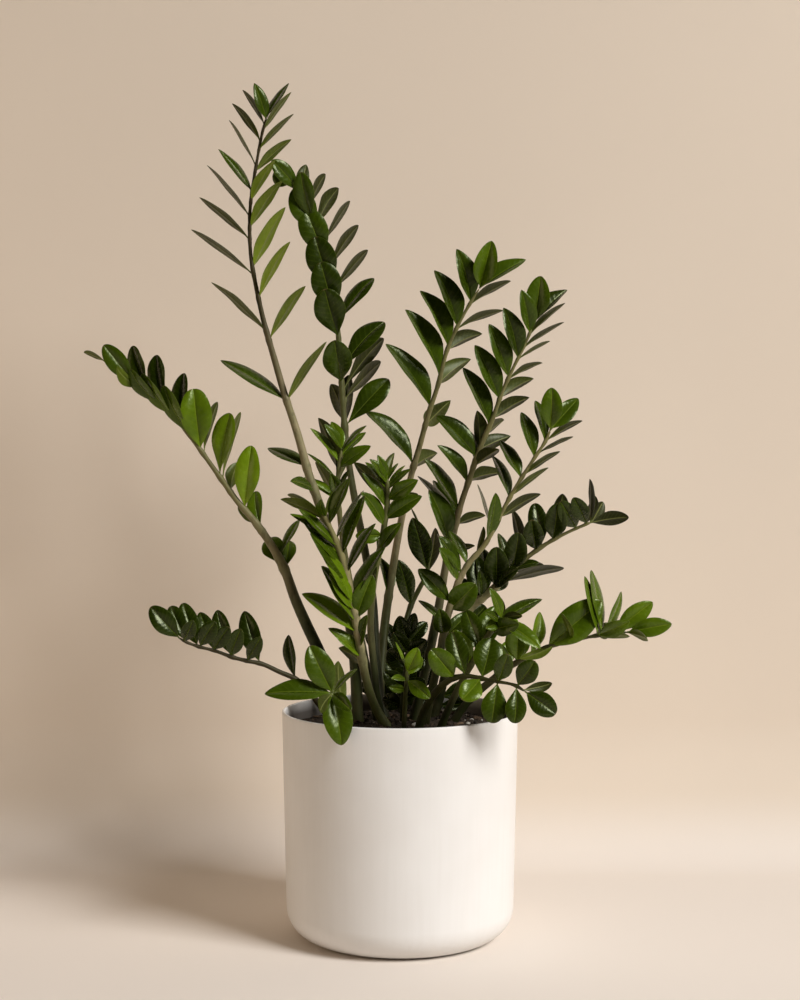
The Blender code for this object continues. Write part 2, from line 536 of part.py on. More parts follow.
def picture(p):
    """Column and row of a point, to find the nearest place on a stalk."""
    d = Vector(p) - EYE
    f = d.y * math.cos(DIP) - d.z * math.sin(DIP)
    u = d.y * math.sin(DIP) + d.z * math.cos(DIP)
    return COL0 + FAR * d.x / f, ROW0 - FAR * u / f


def leaf_frames(f, dense):
    """Base, axis, width direction, upper side, length and width of leaflets."""
    flat = np.array([picture(p) for p in dense])
    out = []
    for bc, br, tc, tr, seen, dd in f["leaves"]:
        k = int(np.argmin((flat[:, 0] - bc) ** 2 + (flat[:, 1] - br) ** 2))
        base = Vector(dense[k])
        k0, k1 = max(0, k - 3), min(len(dense) - 1, k + 3)
        along = Vector(dense[k1] - dense[k0]).normalized()
        depth = base.y / SQ + dd
        tip = sight(tc, tr, depth)
        ax = tip - base
        length = ax.length
        ax.normalize()
        true_w = max(abs(seen) * SQ, LEAF_SLIM * length)
        true_w = min(true_w, max(abs(seen) * SQ, 0.036))
        face = max(-1.0, min(1.0, seen * SQ / true_w))
        look = (EYE - base).normalized()
        v = (look - ax * look.dot(ax)).normalized()
        e = ax.cross(v)
        if e.dot(along) < 0:
            e = -e
        up = (v * face + e * math.sqrt(max(0.0, 1 - face * face))).normalized()
        side = up.cross(ax).normalized()
        out.append((base, ax, side, up, length, true_w))
    return out


def blade_pattern():
    """One straight leaflet: a folded lens section swept along the midrib."""
    sec = bpy.data.curves.new("leaf_section", 'CURVE')
    sec.dimensions = '2D'
    sp = sec.splines.new('POLY')
    sp.points.add(3)
    for q, co in zip(sp.points, ((-1, FOLD), (0, -0.10), (1, FOLD), (0, 0.06))):
        q.co = (co[0], co[1], 0, 1)
    sp.use_cyclic_u = True
    so = add("leaf_section", sec, coll=CUTTERS)
    cu = bpy.data.curves.new("blade", 'CURVE')
    cu.dimensions = '3D'
    cu.bevel_mode = 'OBJECT'
    cu.bevel_object = so
    cu.use_fill_caps = True
    cu.twist_mode = 'Z_UP'
    sp = cu.splines.new('POLY')
    stations = ((0.0, 0.10), (0.15, 0.60), (0.43, 1.0), (0.75, 0.72), (1.0, 0.002))
    sp.points.add(len(stations) - 1)
    for q, (t, w) in zip(sp.points, stations):
        q.co = (t * 4.0, 0, 0, 1)
        q.radius = w
    ob = add("blade", cu, coll=CUTTERS)
    me = tidy(baked(ob, "blade"), 0.01)
    bpy.data.objects.remove(ob, do_unlink=True)
    bpy.data.objects.remove(so, do_unlink=True)
    return me


def blade(name, frame, coll, pattern):
    base, ax, side, up, length, width = frame
    me = pattern.copy()
    me.name = name
    for v in me.vertices:
        t = v.co.x / 4.0
        y = v.co.y * width / 2
        z = v.co.z * width / 2
        if t < 0.01:                      # the short stalk of the leaflet
            y = v.co.y * 0.009
            z = 0.0 if abs(v.co.y) > 0.01 else math.copysign(0.0007, v.co.z)
        lift = BOW * length * 4 * t * (1 - t)
        v.co = base + ax * (length * t) + side * y + up * (z + lift)
    ob = add(name, tidy(me, 1e-6), coll=coll)
    ob.hide_render = True
    ob.display_type = 'WIRE'
    return ob


def frond(name, f, pattern):
    pts, radii, dense = stalk_run(f)
    ob = add(name, tube(name, pts, radii, 1), M_LEAF)
    box = bpy.data.collections.new(name + "_leaflets")
    CUTTERS.children.link(box)
    for i, fr in enumerate(leaf_frames(f, dense)):
        blade("%s_leaflet_%02d" % (name, i), fr, box, pattern)
    m = ob.modifiers.new("leaflets", 'BOOLEAN')
    m.operation = 'UNION'
    m.solver = 'EXACT'
    m.operand_type = 'COLLECTION'
    m.collection = box
    new = tidy(baked(ob, name), 0)
    ob.modifiers.clear()
    old = ob.data
    ob.data = new
    bpy.data.meshes.remove(old)
    ob.data.materials.clear()
    ob.data.materials.append(M_LEAF)
    for o in list(box.objects):
        bpy.data.objects.remove(o, do_unlink=True)
    bpy.data.collections.remove(box)
    return ob, pts, radii


M_POT = material("planter_white", (0.86, 0.84, 0.81), 0.38)
M_SOIL = material("potting_soil", (0.045, 0.032, 0.022), 0.95)
M_LEAF = material("zz_leaf", (0.060, 0.130, 0.030), 0.30, 0.3)

PATTERN = blade_pattern()
STALKS = {}
for key, spec in FRONDS.items():
    made, run, rads = frond(key, spec, PATTERN)
    STALKS[key] = (run, rads)
planter()
soil_body(STALKS)
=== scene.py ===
# Potted ZZ plant, the looks: planter, potting soil and compound leaves.
import bpy
import bmesh
import math
import random
import numpy as np
from mathutils import Vector, Matrix, noise


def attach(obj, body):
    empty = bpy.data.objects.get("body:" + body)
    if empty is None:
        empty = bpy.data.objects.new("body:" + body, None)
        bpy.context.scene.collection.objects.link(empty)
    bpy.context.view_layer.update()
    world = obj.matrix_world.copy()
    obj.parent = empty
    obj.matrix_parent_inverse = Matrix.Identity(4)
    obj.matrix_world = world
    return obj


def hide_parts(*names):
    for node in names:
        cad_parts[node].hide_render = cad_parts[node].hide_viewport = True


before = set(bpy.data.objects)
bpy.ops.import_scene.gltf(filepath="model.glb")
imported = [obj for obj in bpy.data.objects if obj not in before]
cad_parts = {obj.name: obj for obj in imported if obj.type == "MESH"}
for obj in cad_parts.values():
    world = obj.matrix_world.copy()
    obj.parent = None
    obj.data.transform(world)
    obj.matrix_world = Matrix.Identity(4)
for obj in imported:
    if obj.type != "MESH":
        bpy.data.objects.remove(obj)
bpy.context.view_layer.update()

# ------------------------------------------------------------ shared sizes
RIM_R = 0.1500
FOOT_WALL_R = 0.1448
POT_H = 0.2880
WALL = 0.0040
FOOT_ROUND = 0.0400
FLOOR = 0.0060
LIP_ROUND = 0.0016
SOIL_TOP = 0.2660
SOIL_DOME = 0.0030
GAP = 0.0004

EYE = Vector((0.0, -2.25, 0.63))
DIP = 0.0332
FAR = 1773.0
COL0, ROW0 = 400.3, 500.0
SQ = 2.25 / FAR
LEAF_SLIM = 0.40
BOW = 0.055


def sight(col, row, depth):
    a = (col - COL0) / FAR
    b = (ROW0 - row) / FAR
    ry = math.cos(DIP) + b * math.sin(DIP)
    rz = -math.sin(DIP) + b * math.cos(DIP)
    s = (depth * SQ - EYE.y) / ry
    return Vector((a * s, EYE.y + ry * s, EYE.z + rz * s))


def picture(p):
    d = Vector(p) - EYE
    f = d.y * math.cos(DIP) - d.z * math.sin(DIP)
    u = d.y * math.sin(DIP) + d.z * math.cos(DIP)
    return COL0 + FAR * d.x / f, ROW0 - FAR * u / f


# stalk: (column, row, depth, radius in squares) from the soil to the tip.
# leaflets: (base column, base row, tip column, tip row, seen width, tip
# depth less base depth).  A negative width shows the underside.
FRONDS = {}

FRONDS["frond_tall_left"] = dict(
    stalk=[(357, 722, 20, 6.2), (357, 690, 21, 6.0), (354, 650, 22, 5.8),
           (348, 610, 24, 5.6), (340, 572, 26, 5.4), (331, 538, 28, 5.2),
           (318, 500, 30, 4.7), (309, 474, 30, 4.4), (303, 452, 30, 4.2),
           (296, 428, 30, 4.0), (285, 395, 30, 3.6), (275, 360, 28, 3.3),
           (265, 325, 26, 2.7), (257, 290, 24, 2.2), (251, 255, 22, 1.9),
           (250, 220, 20, 1.7), (252, 193, 18, 1.6), (257, 162, 16, 1.4),
           (262, 135, 14, 1.3), (267, 117, 12, 1.0)],
    leaves=[(266, 119, 255, 83, 13, -8), (268, 116, 289, 83, 7, 12),
            (264, 124, 243, 90, -6, 10), (260, 141, 233, 103, -7, -6),
            (256, 165, 230, 120, -3, 14), (250, 190, 219, 149, 9, -10),
            (249, 216, 208, 165, -5, 8), (249, 240, 200, 197, -7, -8),
            (251, 276, 192, 229, -6, 6), (264, 332, 213, 281, -8, -6),
            (284, 402, 221, 360, 13, 10), (305, 467, 268, 448, 13, 28),
            (310, 490, 291, 481, 10, -34),
            (265, 131, 291, 92, -6, 6), (262, 150, 293, 113, -6, -8),
            (256, 172, 291, 139, -9, 14), (252, 201, 275, 160, -10, -14),
            (251, 229, 281, 180, -12, -12), (252, 268, 285, 207, -14, 8),
            (259, 298, 289, 241, -10, -6), (270, 341, 304, 285, -10, 4),
            (288, 400, 326, 341, -9, -8)])

FRONDS["frond_tall_braid"] = dict(
    stalk=[(386, 723, 42, 5.0), (380, 694, 50, 4.8), (376, 650, 60, 4.6),
           (373, 600, 74, 4.4), (367, 560, 78, 4.2), (359, 520, 82, 4.1),
           (351, 475, 86, 3.5), (345, 427, 90, 3.2), (342, 386, 92, 2.9),
           (339, 338, 94, 2.6), (334, 300, 94, 2.6), (326, 262, 92, 2.2),
           (317, 233, 88, 1.9), (306, 205, 82, 1.6), (297, 181, 74, 1.4),
           (286, 167, 66, 1.0)],
    leaves=[(343, 383, 335, 341, 31, -34), (340, 339, 325, 289, 33, -26),
            (337, 316, 321, 262, 32, -18), (332, 290, 315, 237, 32, -16),
            (326, 263, 305, 208, 30, -14), (318, 238, 295, 188, 28, -12),
            (314, 224, 301, 172, 22, -24), (303, 196, 272, 160, 18, -20),
            (297, 183, 273, 174, 20, 2), (303, 198, 306, 165, -14, 16),
            (312, 208, 325, 174, -9, 18), (320, 228, 338, 188, -14, 20),
            (326, 246, 350, 201, -8, 16), (331, 270, 358, 225, -11, 14),
            (334, 292, 368, 250, -10, 12), (337, 322, 373, 277, 15, 10),
            (341, 372, 384, 321, 24, 4), (343, 392, 383, 338, -16, 22),
            (344, 402, 381, 362, -15, 34), (346, 427, 389, 379, 26, 6),
            (346, 430, 350, 375, -16, 22), (345, 424, 333, 385, -16, 30)])

FRONDS["frond_front_left"] = dict(
    stalk=[(387, 726, -6, 4.2), (376, 708, -8, 4.1), (367, 682, -12, 4.0),
           (361, 650, -18, 4.0), (356, 618, -24, 3.9), (350, 590, -30, 3.6),
           (343, 560, -36, 3.2), (335, 538, -40, 2.6), (327, 521, -44, 1.9),
           (321, 511, -46, 1.2)],
    leaves=[(358, 663, 340, 648, -14, 30), (358, 658, 329, 628, 13, -10),
            (356, 634, 304, 592, 17, -8), (352, 612, 330, 573, 15, -26),
            (349, 592, 316, 543, 16, -16), (344, 572, 303, 519, 13, -18),
            (341, 558, 304, 514, 11, 8), (335, 543, 291, 513, 9, -4),
            (326, 520, 281, 499, -11, 8), (322, 512, 288, 495, -6, 30),
            (324, 516, 321, 500, 9, -24),
            (354, 624, 322, 566, 15, -22), (351, 603, 324, 553, 14, -30),
            (347, 584, 312, 533, 14, -26), (338, 549, 299, 509, 10, -18),
            (360, 648, 367, 615, 11, -14), (357, 620, 373, 575, 21, -10),
            (352, 600, 385, 545, 13, 6), (347, 575, 375, 523, 10, -8),
            (341, 558, 364, 495, 12, -4), (336, 541, 363, 490, 6, 10),
            (328, 526, 350, 478, 13, -8), (325, 517, 343, 484, -7, 10)])

FRONDS["frond_young_left"] = dict(
    stalk=[(378, 722, 34, 3.4), (372, 695, 36, 3.4), (366, 660, 40, 3.3),
           (358, 620, 44, 3.2), (350, 580, 47, 3.0), (343, 540, 50, 2.8),
           (339, 505, 52, 2.5), (338, 482, 52, 2.2), (340, 462, 52, 1.8),
           (342, 448, 52, 1.2)],
    leaves=[(342, 450, 325, 424, 9, -10), (342, 450, 332, 421, 13, 14),
            (342, 452, 366, 425, 5, -6), (341, 458, 366, 432, 10, 14),
            (341, 468, 371, 446, 14, -16), (340, 463, 311, 428, 8, -8),
            (339, 472, 319, 418, -18, 20), (338, 480, 308, 453, 4, -12),
            (338, 492, 331, 474, 13, -26), (339, 500, 304, 477, 9, -8),
            (340, 510, 316, 462, -12, 18), (339, 494, 350, 470, 5, -12),
            (339, 486, 356, 436, -12, 24)])

FRONDS["frond_young_mid"] = dict(
    stalk=[(384, 726, 10, 3.8), (378, 700, 8, 3.7), (374, 665, 4, 3.6),
           (371, 630, 0, 3.4), (372, 600, -4, 3.2), (376, 570, -8, 3.0),
           (382, 540, -12, 2.7), (386, 517, -14, 2.4), (388, 495, -16, 2.0),
           (387, 476, -17, 1.2)],
    leaves=[(387, 478, 378, 455, 9, -6), (387, 478, 394, 453, -8, 14),
            (387, 484, 371, 459, 9, -12), (387, 490, 366, 462, 9, 4),
            (387, 503, 356, 462, -15, 18), (387, 508, 363, 472, 10, -8),
            (387, 482, 398, 463, 5, 16), (388, 486, 405, 465, 4, 4),
            (388, 490, 411, 469, 7, -10), (388, 500, 418, 480, 16, -18),
            (387, 508, 418, 494, -9, 20), (386, 520, 422, 496, 17, -10),
            (385, 527, 362, 492, 13, -22), (383, 535, 356, 536, 16, -4),
            (380, 551, 400, 523, 13, -20), (377, 560, 379, 532, 7, 12),
            (373, 596, 377, 567, 7, -14)])

FRONDS["frond_mid_right"] = dict(
    stalk=[(380, 721, 66, 5.0), (380, 690, 78, 4.9), (382, 655, 90, 4.8),
           (386, 616, 102, 4.5), (391, 582, 104, 4.2), (397, 545, 106, 3.8),
           (403, 513, 106, 3.5), (412, 473, 104, 3.2), (420, 446, 102, 2.9),
           (429, 413, 100, 2.6), (438, 386, 98, 2.3), (447, 351, 94, 2.0),
           (458, 326, 90, 1.7), (470, 304, 86, 1.5), (480, 288, 82, 1.0)],
    leaves=[(480, 288, 492, 241, 24, -14), (481, 287, 526, 259, 16, 4),
            (470, 303, 458, 249, 21, -12), (457, 327, 436, 270, 21, -10),
            (448, 347, 422, 290, 20, -6), (439, 378, 407, 309, 20, -8),
            (430, 408, 386, 344, 20, -6), (412, 465, 367, 410, 18, -4),
            (470, 305, 511, 281, -8, 12), (457, 329, 503, 310, -7, 10),
            (447, 352, 481, 333, -14, 24), (438, 384, 470, 359, -17, 26),
            (425, 426, 450, 401, -19, 30), (413, 468, 437, 453, -14, 38),
            (390, 597, 380, 556, 14, 16)])

FRONDS["frond_back_dark"] = dict(
    stalk=[(402, 718, 84, 3.4), (401, 690, 94, 3.4), (401, 660, 108, 3.3),
           (404, 632, 120, 3.2), (411, 606, 134, 3.0), (420, 588, 136, 2.7),
           (428, 570, 136, 2.3), (425, 545, 132, 1.8), (418, 522, 126, 1.4),
           (411, 507, 122, 1.0)],
    leaves=[(428, 572, 413, 518, 25, -16), (428, 574, 436, 528, -14, 18),
            (411, 606, 399, 560, 20, -16), (404, 642, 400, 616, 18, -18),
            (405, 648, 415, 613, 12, 14), (404, 652, 427, 622, 12, -12),
            (402, 660, 386, 622, 16, 10), (402, 672, 432, 644, 22, 20),
            (402, 680, 374, 648, 22, 12), (402, 690, 436, 668, 24, 4),
            (402, 694, 376, 672, 22, 16), (402, 702, 438, 694, 22, 8),
            (402, 706, 370, 696, 20, 16), (402, 698, 409, 656, 24, -18),
            (402, 692, 361, 664, 22, 18), (402, 701, 356, 684, 18, 12),
            (402, 666, 366, 634, 20, 22)])

FRONDS["frond_right"] = dict(
    stalk=[(414, 724, 26, 5.2), (420, 694, 24, 5.1), (427, 664, 22, 5.0),
           (434, 632, 19, 4.9), (440, 602, 16, 4.4), (446, 566, 13, 3.9),
           (453, 535, 10, 3.5), (460, 508, 8, 3.1), (470, 478, 5, 2.8),
           (480, 449, 2, 2.5), (492, 421, -2, 2.2), (502, 393, -6, 1.9),
           (514, 367, -10, 1.6), (526, 343, -13, 1.3), (534, 322, -16, 1.0)],
    leaves=[(535, 321, 541, 276, 24, -10), (534, 323, 567, 289, 15, 12),
            (530, 334, 522, 290, 16, -18), (518, 359, 505, 308, 19, -16),
            (509, 379, 490, 324, 19, -12), (500, 400, 476, 345, 20, -10),
            (490, 426, 465, 367, 16, -6), (477, 458, 437, 415, 19, -4),
            (530, 335, 565, 303, -6, 6), (524, 348, 564, 322, -5, 4),
            (518, 360, 550, 341, -4, 12), (508, 380, 542, 362, -6, 10),
            (500, 398, 533, 378, -12, 14), (492, 419, 529, 397, -13, 8),
            (480, 449, 510, 436, -15, 22), (486, 435, 504, 420, -7, 34),
            (480, 450, 478, 411, -15, 20), (475, 462, 461, 423, 11, 26),
            (468, 484, 439, 445, 13, -14), (459, 512, 426, 458, 13, -16),
            (456, 522, 418, 476, 9, 10), (454, 532, 434, 480, 15, 30),
            (450, 550, 430, 490, 19, -20),
            (470, 480, 502, 472, -13, 24), (474, 468, 499, 449, -13, -26),
            (456, 524, 485, 515, -10, 18), (452, 540, 466, 556, -9, 22),
            (448, 556, 475, 545, -8, -14), (448, 560, 438, 534, 8, 22)])

FRONDS["frond_right_low"] = dict(
    stalk=[(424, 728, -6, 4.2), (430, 700, -12, 4.1), (437, 668, -18, 4.0),
           (444, 636, -24, 3.8), (450, 608, -30, 3.3), (458, 583, -34, 3.0),
           (469, 563, -38, 2.7), (485, 545, -42, 2.3), (498, 520, -46, 2.0),
           (511, 496, -50, 1.8), (523, 476, -54, 1.6), (536, 456, -58, 1.5),
           (546, 441, -60, 1.3), (551, 429, -62, 1.0)],
    leaves=[(551, 431, 552, 388, 21, -10), (551, 430, 579, 398, 18, 14),
            (545, 443, 537, 400, 12, 10), (535, 458, 522, 412, 14, 6),
            (546, 441, 582, 420, -7, 6), (538, 454, 573, 436, -4, 4),
            (524, 476, 560, 451, -6, 6), (511, 497, 548, 467, -6, 4),
            (499, 519, 540, 493, -11, 6), (522, 478, 500, 440, 13, 18),
            (509, 499, 494, 455, 11, 20), (487, 543, 496, 493, 13, -14),
            (476, 556, 484, 527, -5, 16), (492, 533, 479, 484, 3, 20),
            (463, 575, 440, 536, 12, -14), (468, 565, 450, 530, 10, 12),
            (459, 582, 440, 548, 13, -26), (452, 604, 419, 569, 18, -10),
            (447, 626, 419, 600, 7, 6), (450, 610, 476, 584, 26, -12),
            (445, 634, 440, 610, 18, -26), (444, 640, 470, 612, 16, 14)])

FRONDS["frond_right_arch"] = dict(
    stalk=[(432, 722, 52, 4.8), (440, 696, 52, 4.8), (448, 664, 50, 4.7),
           (456, 636, 46, 4.6), (466, 614, 42, 4.4), (480, 600, 38, 4.1),
           (497, 586, 34, 3.6), (513, 569, 30, 3.1), (533, 553, 26, 2.5),
           (553, 540, 22, 2.0), (573, 530, 18, 1.6), (592, 522, 14, 1.1)],
    leaves=[(590, 523, 629, 517, -15, -4), (592, 522, 603, 502, -15, 24),
            (591, 522, 591, 479, -7, 6), (588, 525, 574, 498, 17, -22),
            (577, 529, 561, 502, 20, -24), (584, 526, 595, 496, -10, 24),
            (553, 541, 558, 504, 23, -26), (557, 539, 563, 494, -18, 12),
            (537, 551, 532, 520, 21, -30), (541, 547, 535, 503, 20, 6),
            (512, 570, 519, 533, 24, -28), (523, 562, 513, 510, -12, 12),
            (506, 576, 500, 533, 12, 10), (496, 588, 497, 548, 25, -24),
            (512, 571, 539, 562, 8, -8), (509, 574, 544, 565, -9, 14),
            (500, 584, 564, 567, -10, -10), (494, 589, 517, 569, 13, -30),
            (490, 592, 508, 578, 14, 22), (482, 599, 480, 570, 11, -18),
            (470, 611, 486, 588, 16, 24), (480, 600, 476, 556, 22, 14),
            (488, 594, 483, 548, 20, 26), (466, 614, 462, 578, 20, 20),
            (457, 634, 486, 606, 24, 12), (451, 654, 480, 624, 24, 16),
            (447, 668, 474, 650, 22, 22), (440, 697, 472, 688, 20, 16),
            (437, 706, 468, 704, 14, 12)])

FRONDS["frond_right_front"] = dict(
    stalk=[(440, 730, -18, 3.4), (450, 706, -28, 3.4), (463, 680, -40, 3.3),
           (476, 656, -52, 3.1), (488, 636, -64, 2.7), (497, 624, -74, 2.2),
           (502, 618, -80, 1.4)],
    leaves=[(502, 619, 490, 588, 10, -8), (502, 619, 499, 596, -9, 14),
            (502, 619, 523, 615, -8, -14), (501, 620, 519, 622, 9, 6),
            (500, 621, 486, 613, 8, -18), (498, 623, 486, 628, 11, -12),
            (496, 626, 542, 598, 13, 16), (500, 621, 541, 648, 14, -16),
            (492, 630, 519, 624, 18, -26), (476, 656, 496, 606, 24, 16),
            (480, 648, 466, 610, 20, 20), (470, 664, 454, 630, 20, -12)])

FRONDS["frond_low_right"] = dict(
    stalk=[(452, 724, 22, 4.0), (468, 702, 14, 4.0), (490, 682, 6, 3.9),
           (516, 663, -2, 3.0), (545, 648, -10, 2.3), (572, 641, -16, 1.8),
           (600, 635, -22, 1.4), (629, 632, -28, 1.0)],
    leaves=[(628, 632, 672, 624, 19, -10), (612, 634, 653, 602, 20, -2),
            (628, 632, 649, 639, -9, -26), (594, 637, 630, 636, -8, -14),
            (597, 636, 612, 625, -16, 30), (596, 636, 629, 622, 16, -24),
            (547, 647, 601, 601, 35, -8), (572, 641, 563, 613, -7, -22),
            (598, 636, 586, 576, 10, 16), (601, 634, 592, 570, 11, 30),
            (604, 634, 623, 592, 9, 20),
            (556, 645, 520, 659, -10, -14), (517, 662, 519, 622, 25, -20),
            (505, 671, 487, 640, 26, -16), (530, 655, 541, 612, 14, 20),
            (498, 676, 512, 640, 18, 16)])

FRONDS["frond_low_front"] = dict(
    stalk=[(418, 733, -36, 3.8), (424, 712, -46, 3.8), (436, 692, -60, 3.7),
           (452, 679, -76, 2.7), (468, 676, -88, 2.2), (484, 679, -98, 1.8),
           (500, 682, -106, 1.5), (515, 685, -112, 1.3), (526, 692, -116, 1.0)],
    leaves=[(525, 692, 556, 714, 22, -8), (523, 690, 552, 684, -10, 8),
            (517, 686, 535, 661, 21, -10), (516, 686, 515, 723, 20, -12),
            (498, 682, 492, 723, 24, -10), (481, 678, 463, 699, 22, -22),
            (455, 678, 432, 650, 24, -14), (466, 677, 452, 632, 22, 10),
            (482, 678, 492, 638, 28, 12), (498, 682, 508, 655, 18, -20)])

FRONDS["frond_low_left"] = dict(
    stalk=[(336, 724, 12, 3.2), (322, 708, 8, 3.1), (310, 692, 4, 3.0),
           (296, 679, 0, 2.7), (280, 672, -4, 2.5), (263, 664, -8, 2.3),
           (248, 661, -12, 2.1), (232, 657, -16, 1.9), (216, 651, -20, 1.7),
           (200, 647, -24, 1.5), (186, 642, -28, 1.2), (178, 637, -30, 1.0)],
    leaves=[(180, 638, 151, 607, 22, -6), (188, 643, 171, 606, 19, 6),
            (198, 646, 183, 603, 20, 8), (184, 642, 193, 621, 15, -18),
            (200, 647, 215, 622, 18, -14), (214, 651, 229, 627, 17, -14),
            (231, 657, 241, 629, 17, -16), (247, 661, 261, 637, 15, -18),
            (214, 650, 200, 612, 17, 10), (233, 657, 217, 610, 19, 12),
            (260, 664, 244, 611, 21, 10), (296, 679, 288, 635, 12, 8)])

FRONDS["frond_front_rosette"] = dict(
    stalk=[(352, 737, -50, 3.4), (348, 722, -62, 3.4), (343, 708, -78, 3.2),
           (337, 698, -92, 2.6), (332, 692, -102, 1.6)],
    leaves=[(333, 693, 265, 693, 20, -6), (333, 693, 310, 646, 27, -6),
            (346, 713, 338, 661, -17, 8), (334, 693, 351, 710, 14, -24),
            (334, 693, 357, 668, 6, 6), (332, 693, 342, 745, 28, -16),
            (333, 693, 320, 712, -12, -30)])

FRONDS["frond_small_front"] = dict(
    stalk=[(404, 731, -30, 2.4), (405, 708, -44, 2.3), (406, 690, -56, 2.1),
           (407, 678, -62, 1.6), (407, 668, -64, 1.0)],
    leaves=[(407, 672, 418, 648, 15, -6), (407, 676, 422, 656, 13, 18),
            (406, 680, 392, 678, 6, -14), (407, 680, 430, 698, 15, -14),
            (407, 670, 396, 642, 3, 6), (405, 690, 389, 687, 9, -12)])

FRONDS["frond_inner"] = dict(
    stalk=[(404, 728, 20, 3.2), (404, 705, 16, 3.2), (406, 680, 12, 3.0),
           (408, 660, 8, 2.6), (409, 645, 4, 2.0), (410, 636, 2, 1.2)],
    leaves=[(410, 637, 415, 613, 12, -6), (409, 642, 400, 617, 14, -8),
            (409, 643, 427, 622, 15, 8), (408, 653, 394, 633, 18, -12),
            (408, 656, 427, 640, 18, -12), (407, 668, 388, 650, 20, 10),
            (406, 675, 424, 656, 18, 4), (405, 690, 385, 672, 20, -14),
            (404, 694, 425, 680, 20, -10), (404, 702, 415, 690, 12, 2),
            (404, 706, 383, 698, 18, 12)])

FRONDS["frond_left_arch"] = dict(
    stalk=[(347, 726, -4, 5.8), (340, 700, -4, 5.8), (330, 675, -4, 5.7),
           (318, 648, -4, 5.6), (306, 623, -4, 5.4), (295, 598, -5, 5.0),
           (285, 570, -6, 4.5), (271, 544, -8, 3.9), (253, 519, -10, 3.3),
           (238, 502, -12, 2.8), (220, 477, -15, 2.4), (200, 449, -18, 2.1),
           (180, 423, -22, 1.8), (160, 404, -26, 1.6), (140, 388, -30, 1.4),
           (120, 373, -33, 1.2), (105, 361, -36, 1.0)],
    leaves=[(106, 362, 85, 352, -5, 14), (138, 386, 104, 345, 20, -10),
            (150, 396, 132, 346, 17, 6), (167, 411, 156, 355, 18, 6),
            (186, 431, 183, 373, 17, 8), (160, 404, 130, 370, 13, -22),
            (174, 417, 142, 374, 14, -18), (190, 436, 163, 386, 15, -16),
            (141, 389, 116, 368, -12, -28), (201, 450, 194, 389, 31, -10),
            (204, 454, 217, 402, -10, 14), (220, 476, 230, 413, 21, -8),
            (222, 480, 240, 412, -7, 14), (231, 492, 238, 463, -14, 26),
            (245, 510, 251, 446, 25, -10), (262, 531, 255, 491, 16, 16),
            (258, 525, 239, 507, -12, 20), (283, 567, 269, 538, 23, 16),
            (279, 558, 299, 520, 8, 14), (284, 570, 290, 540, 16, 26)])

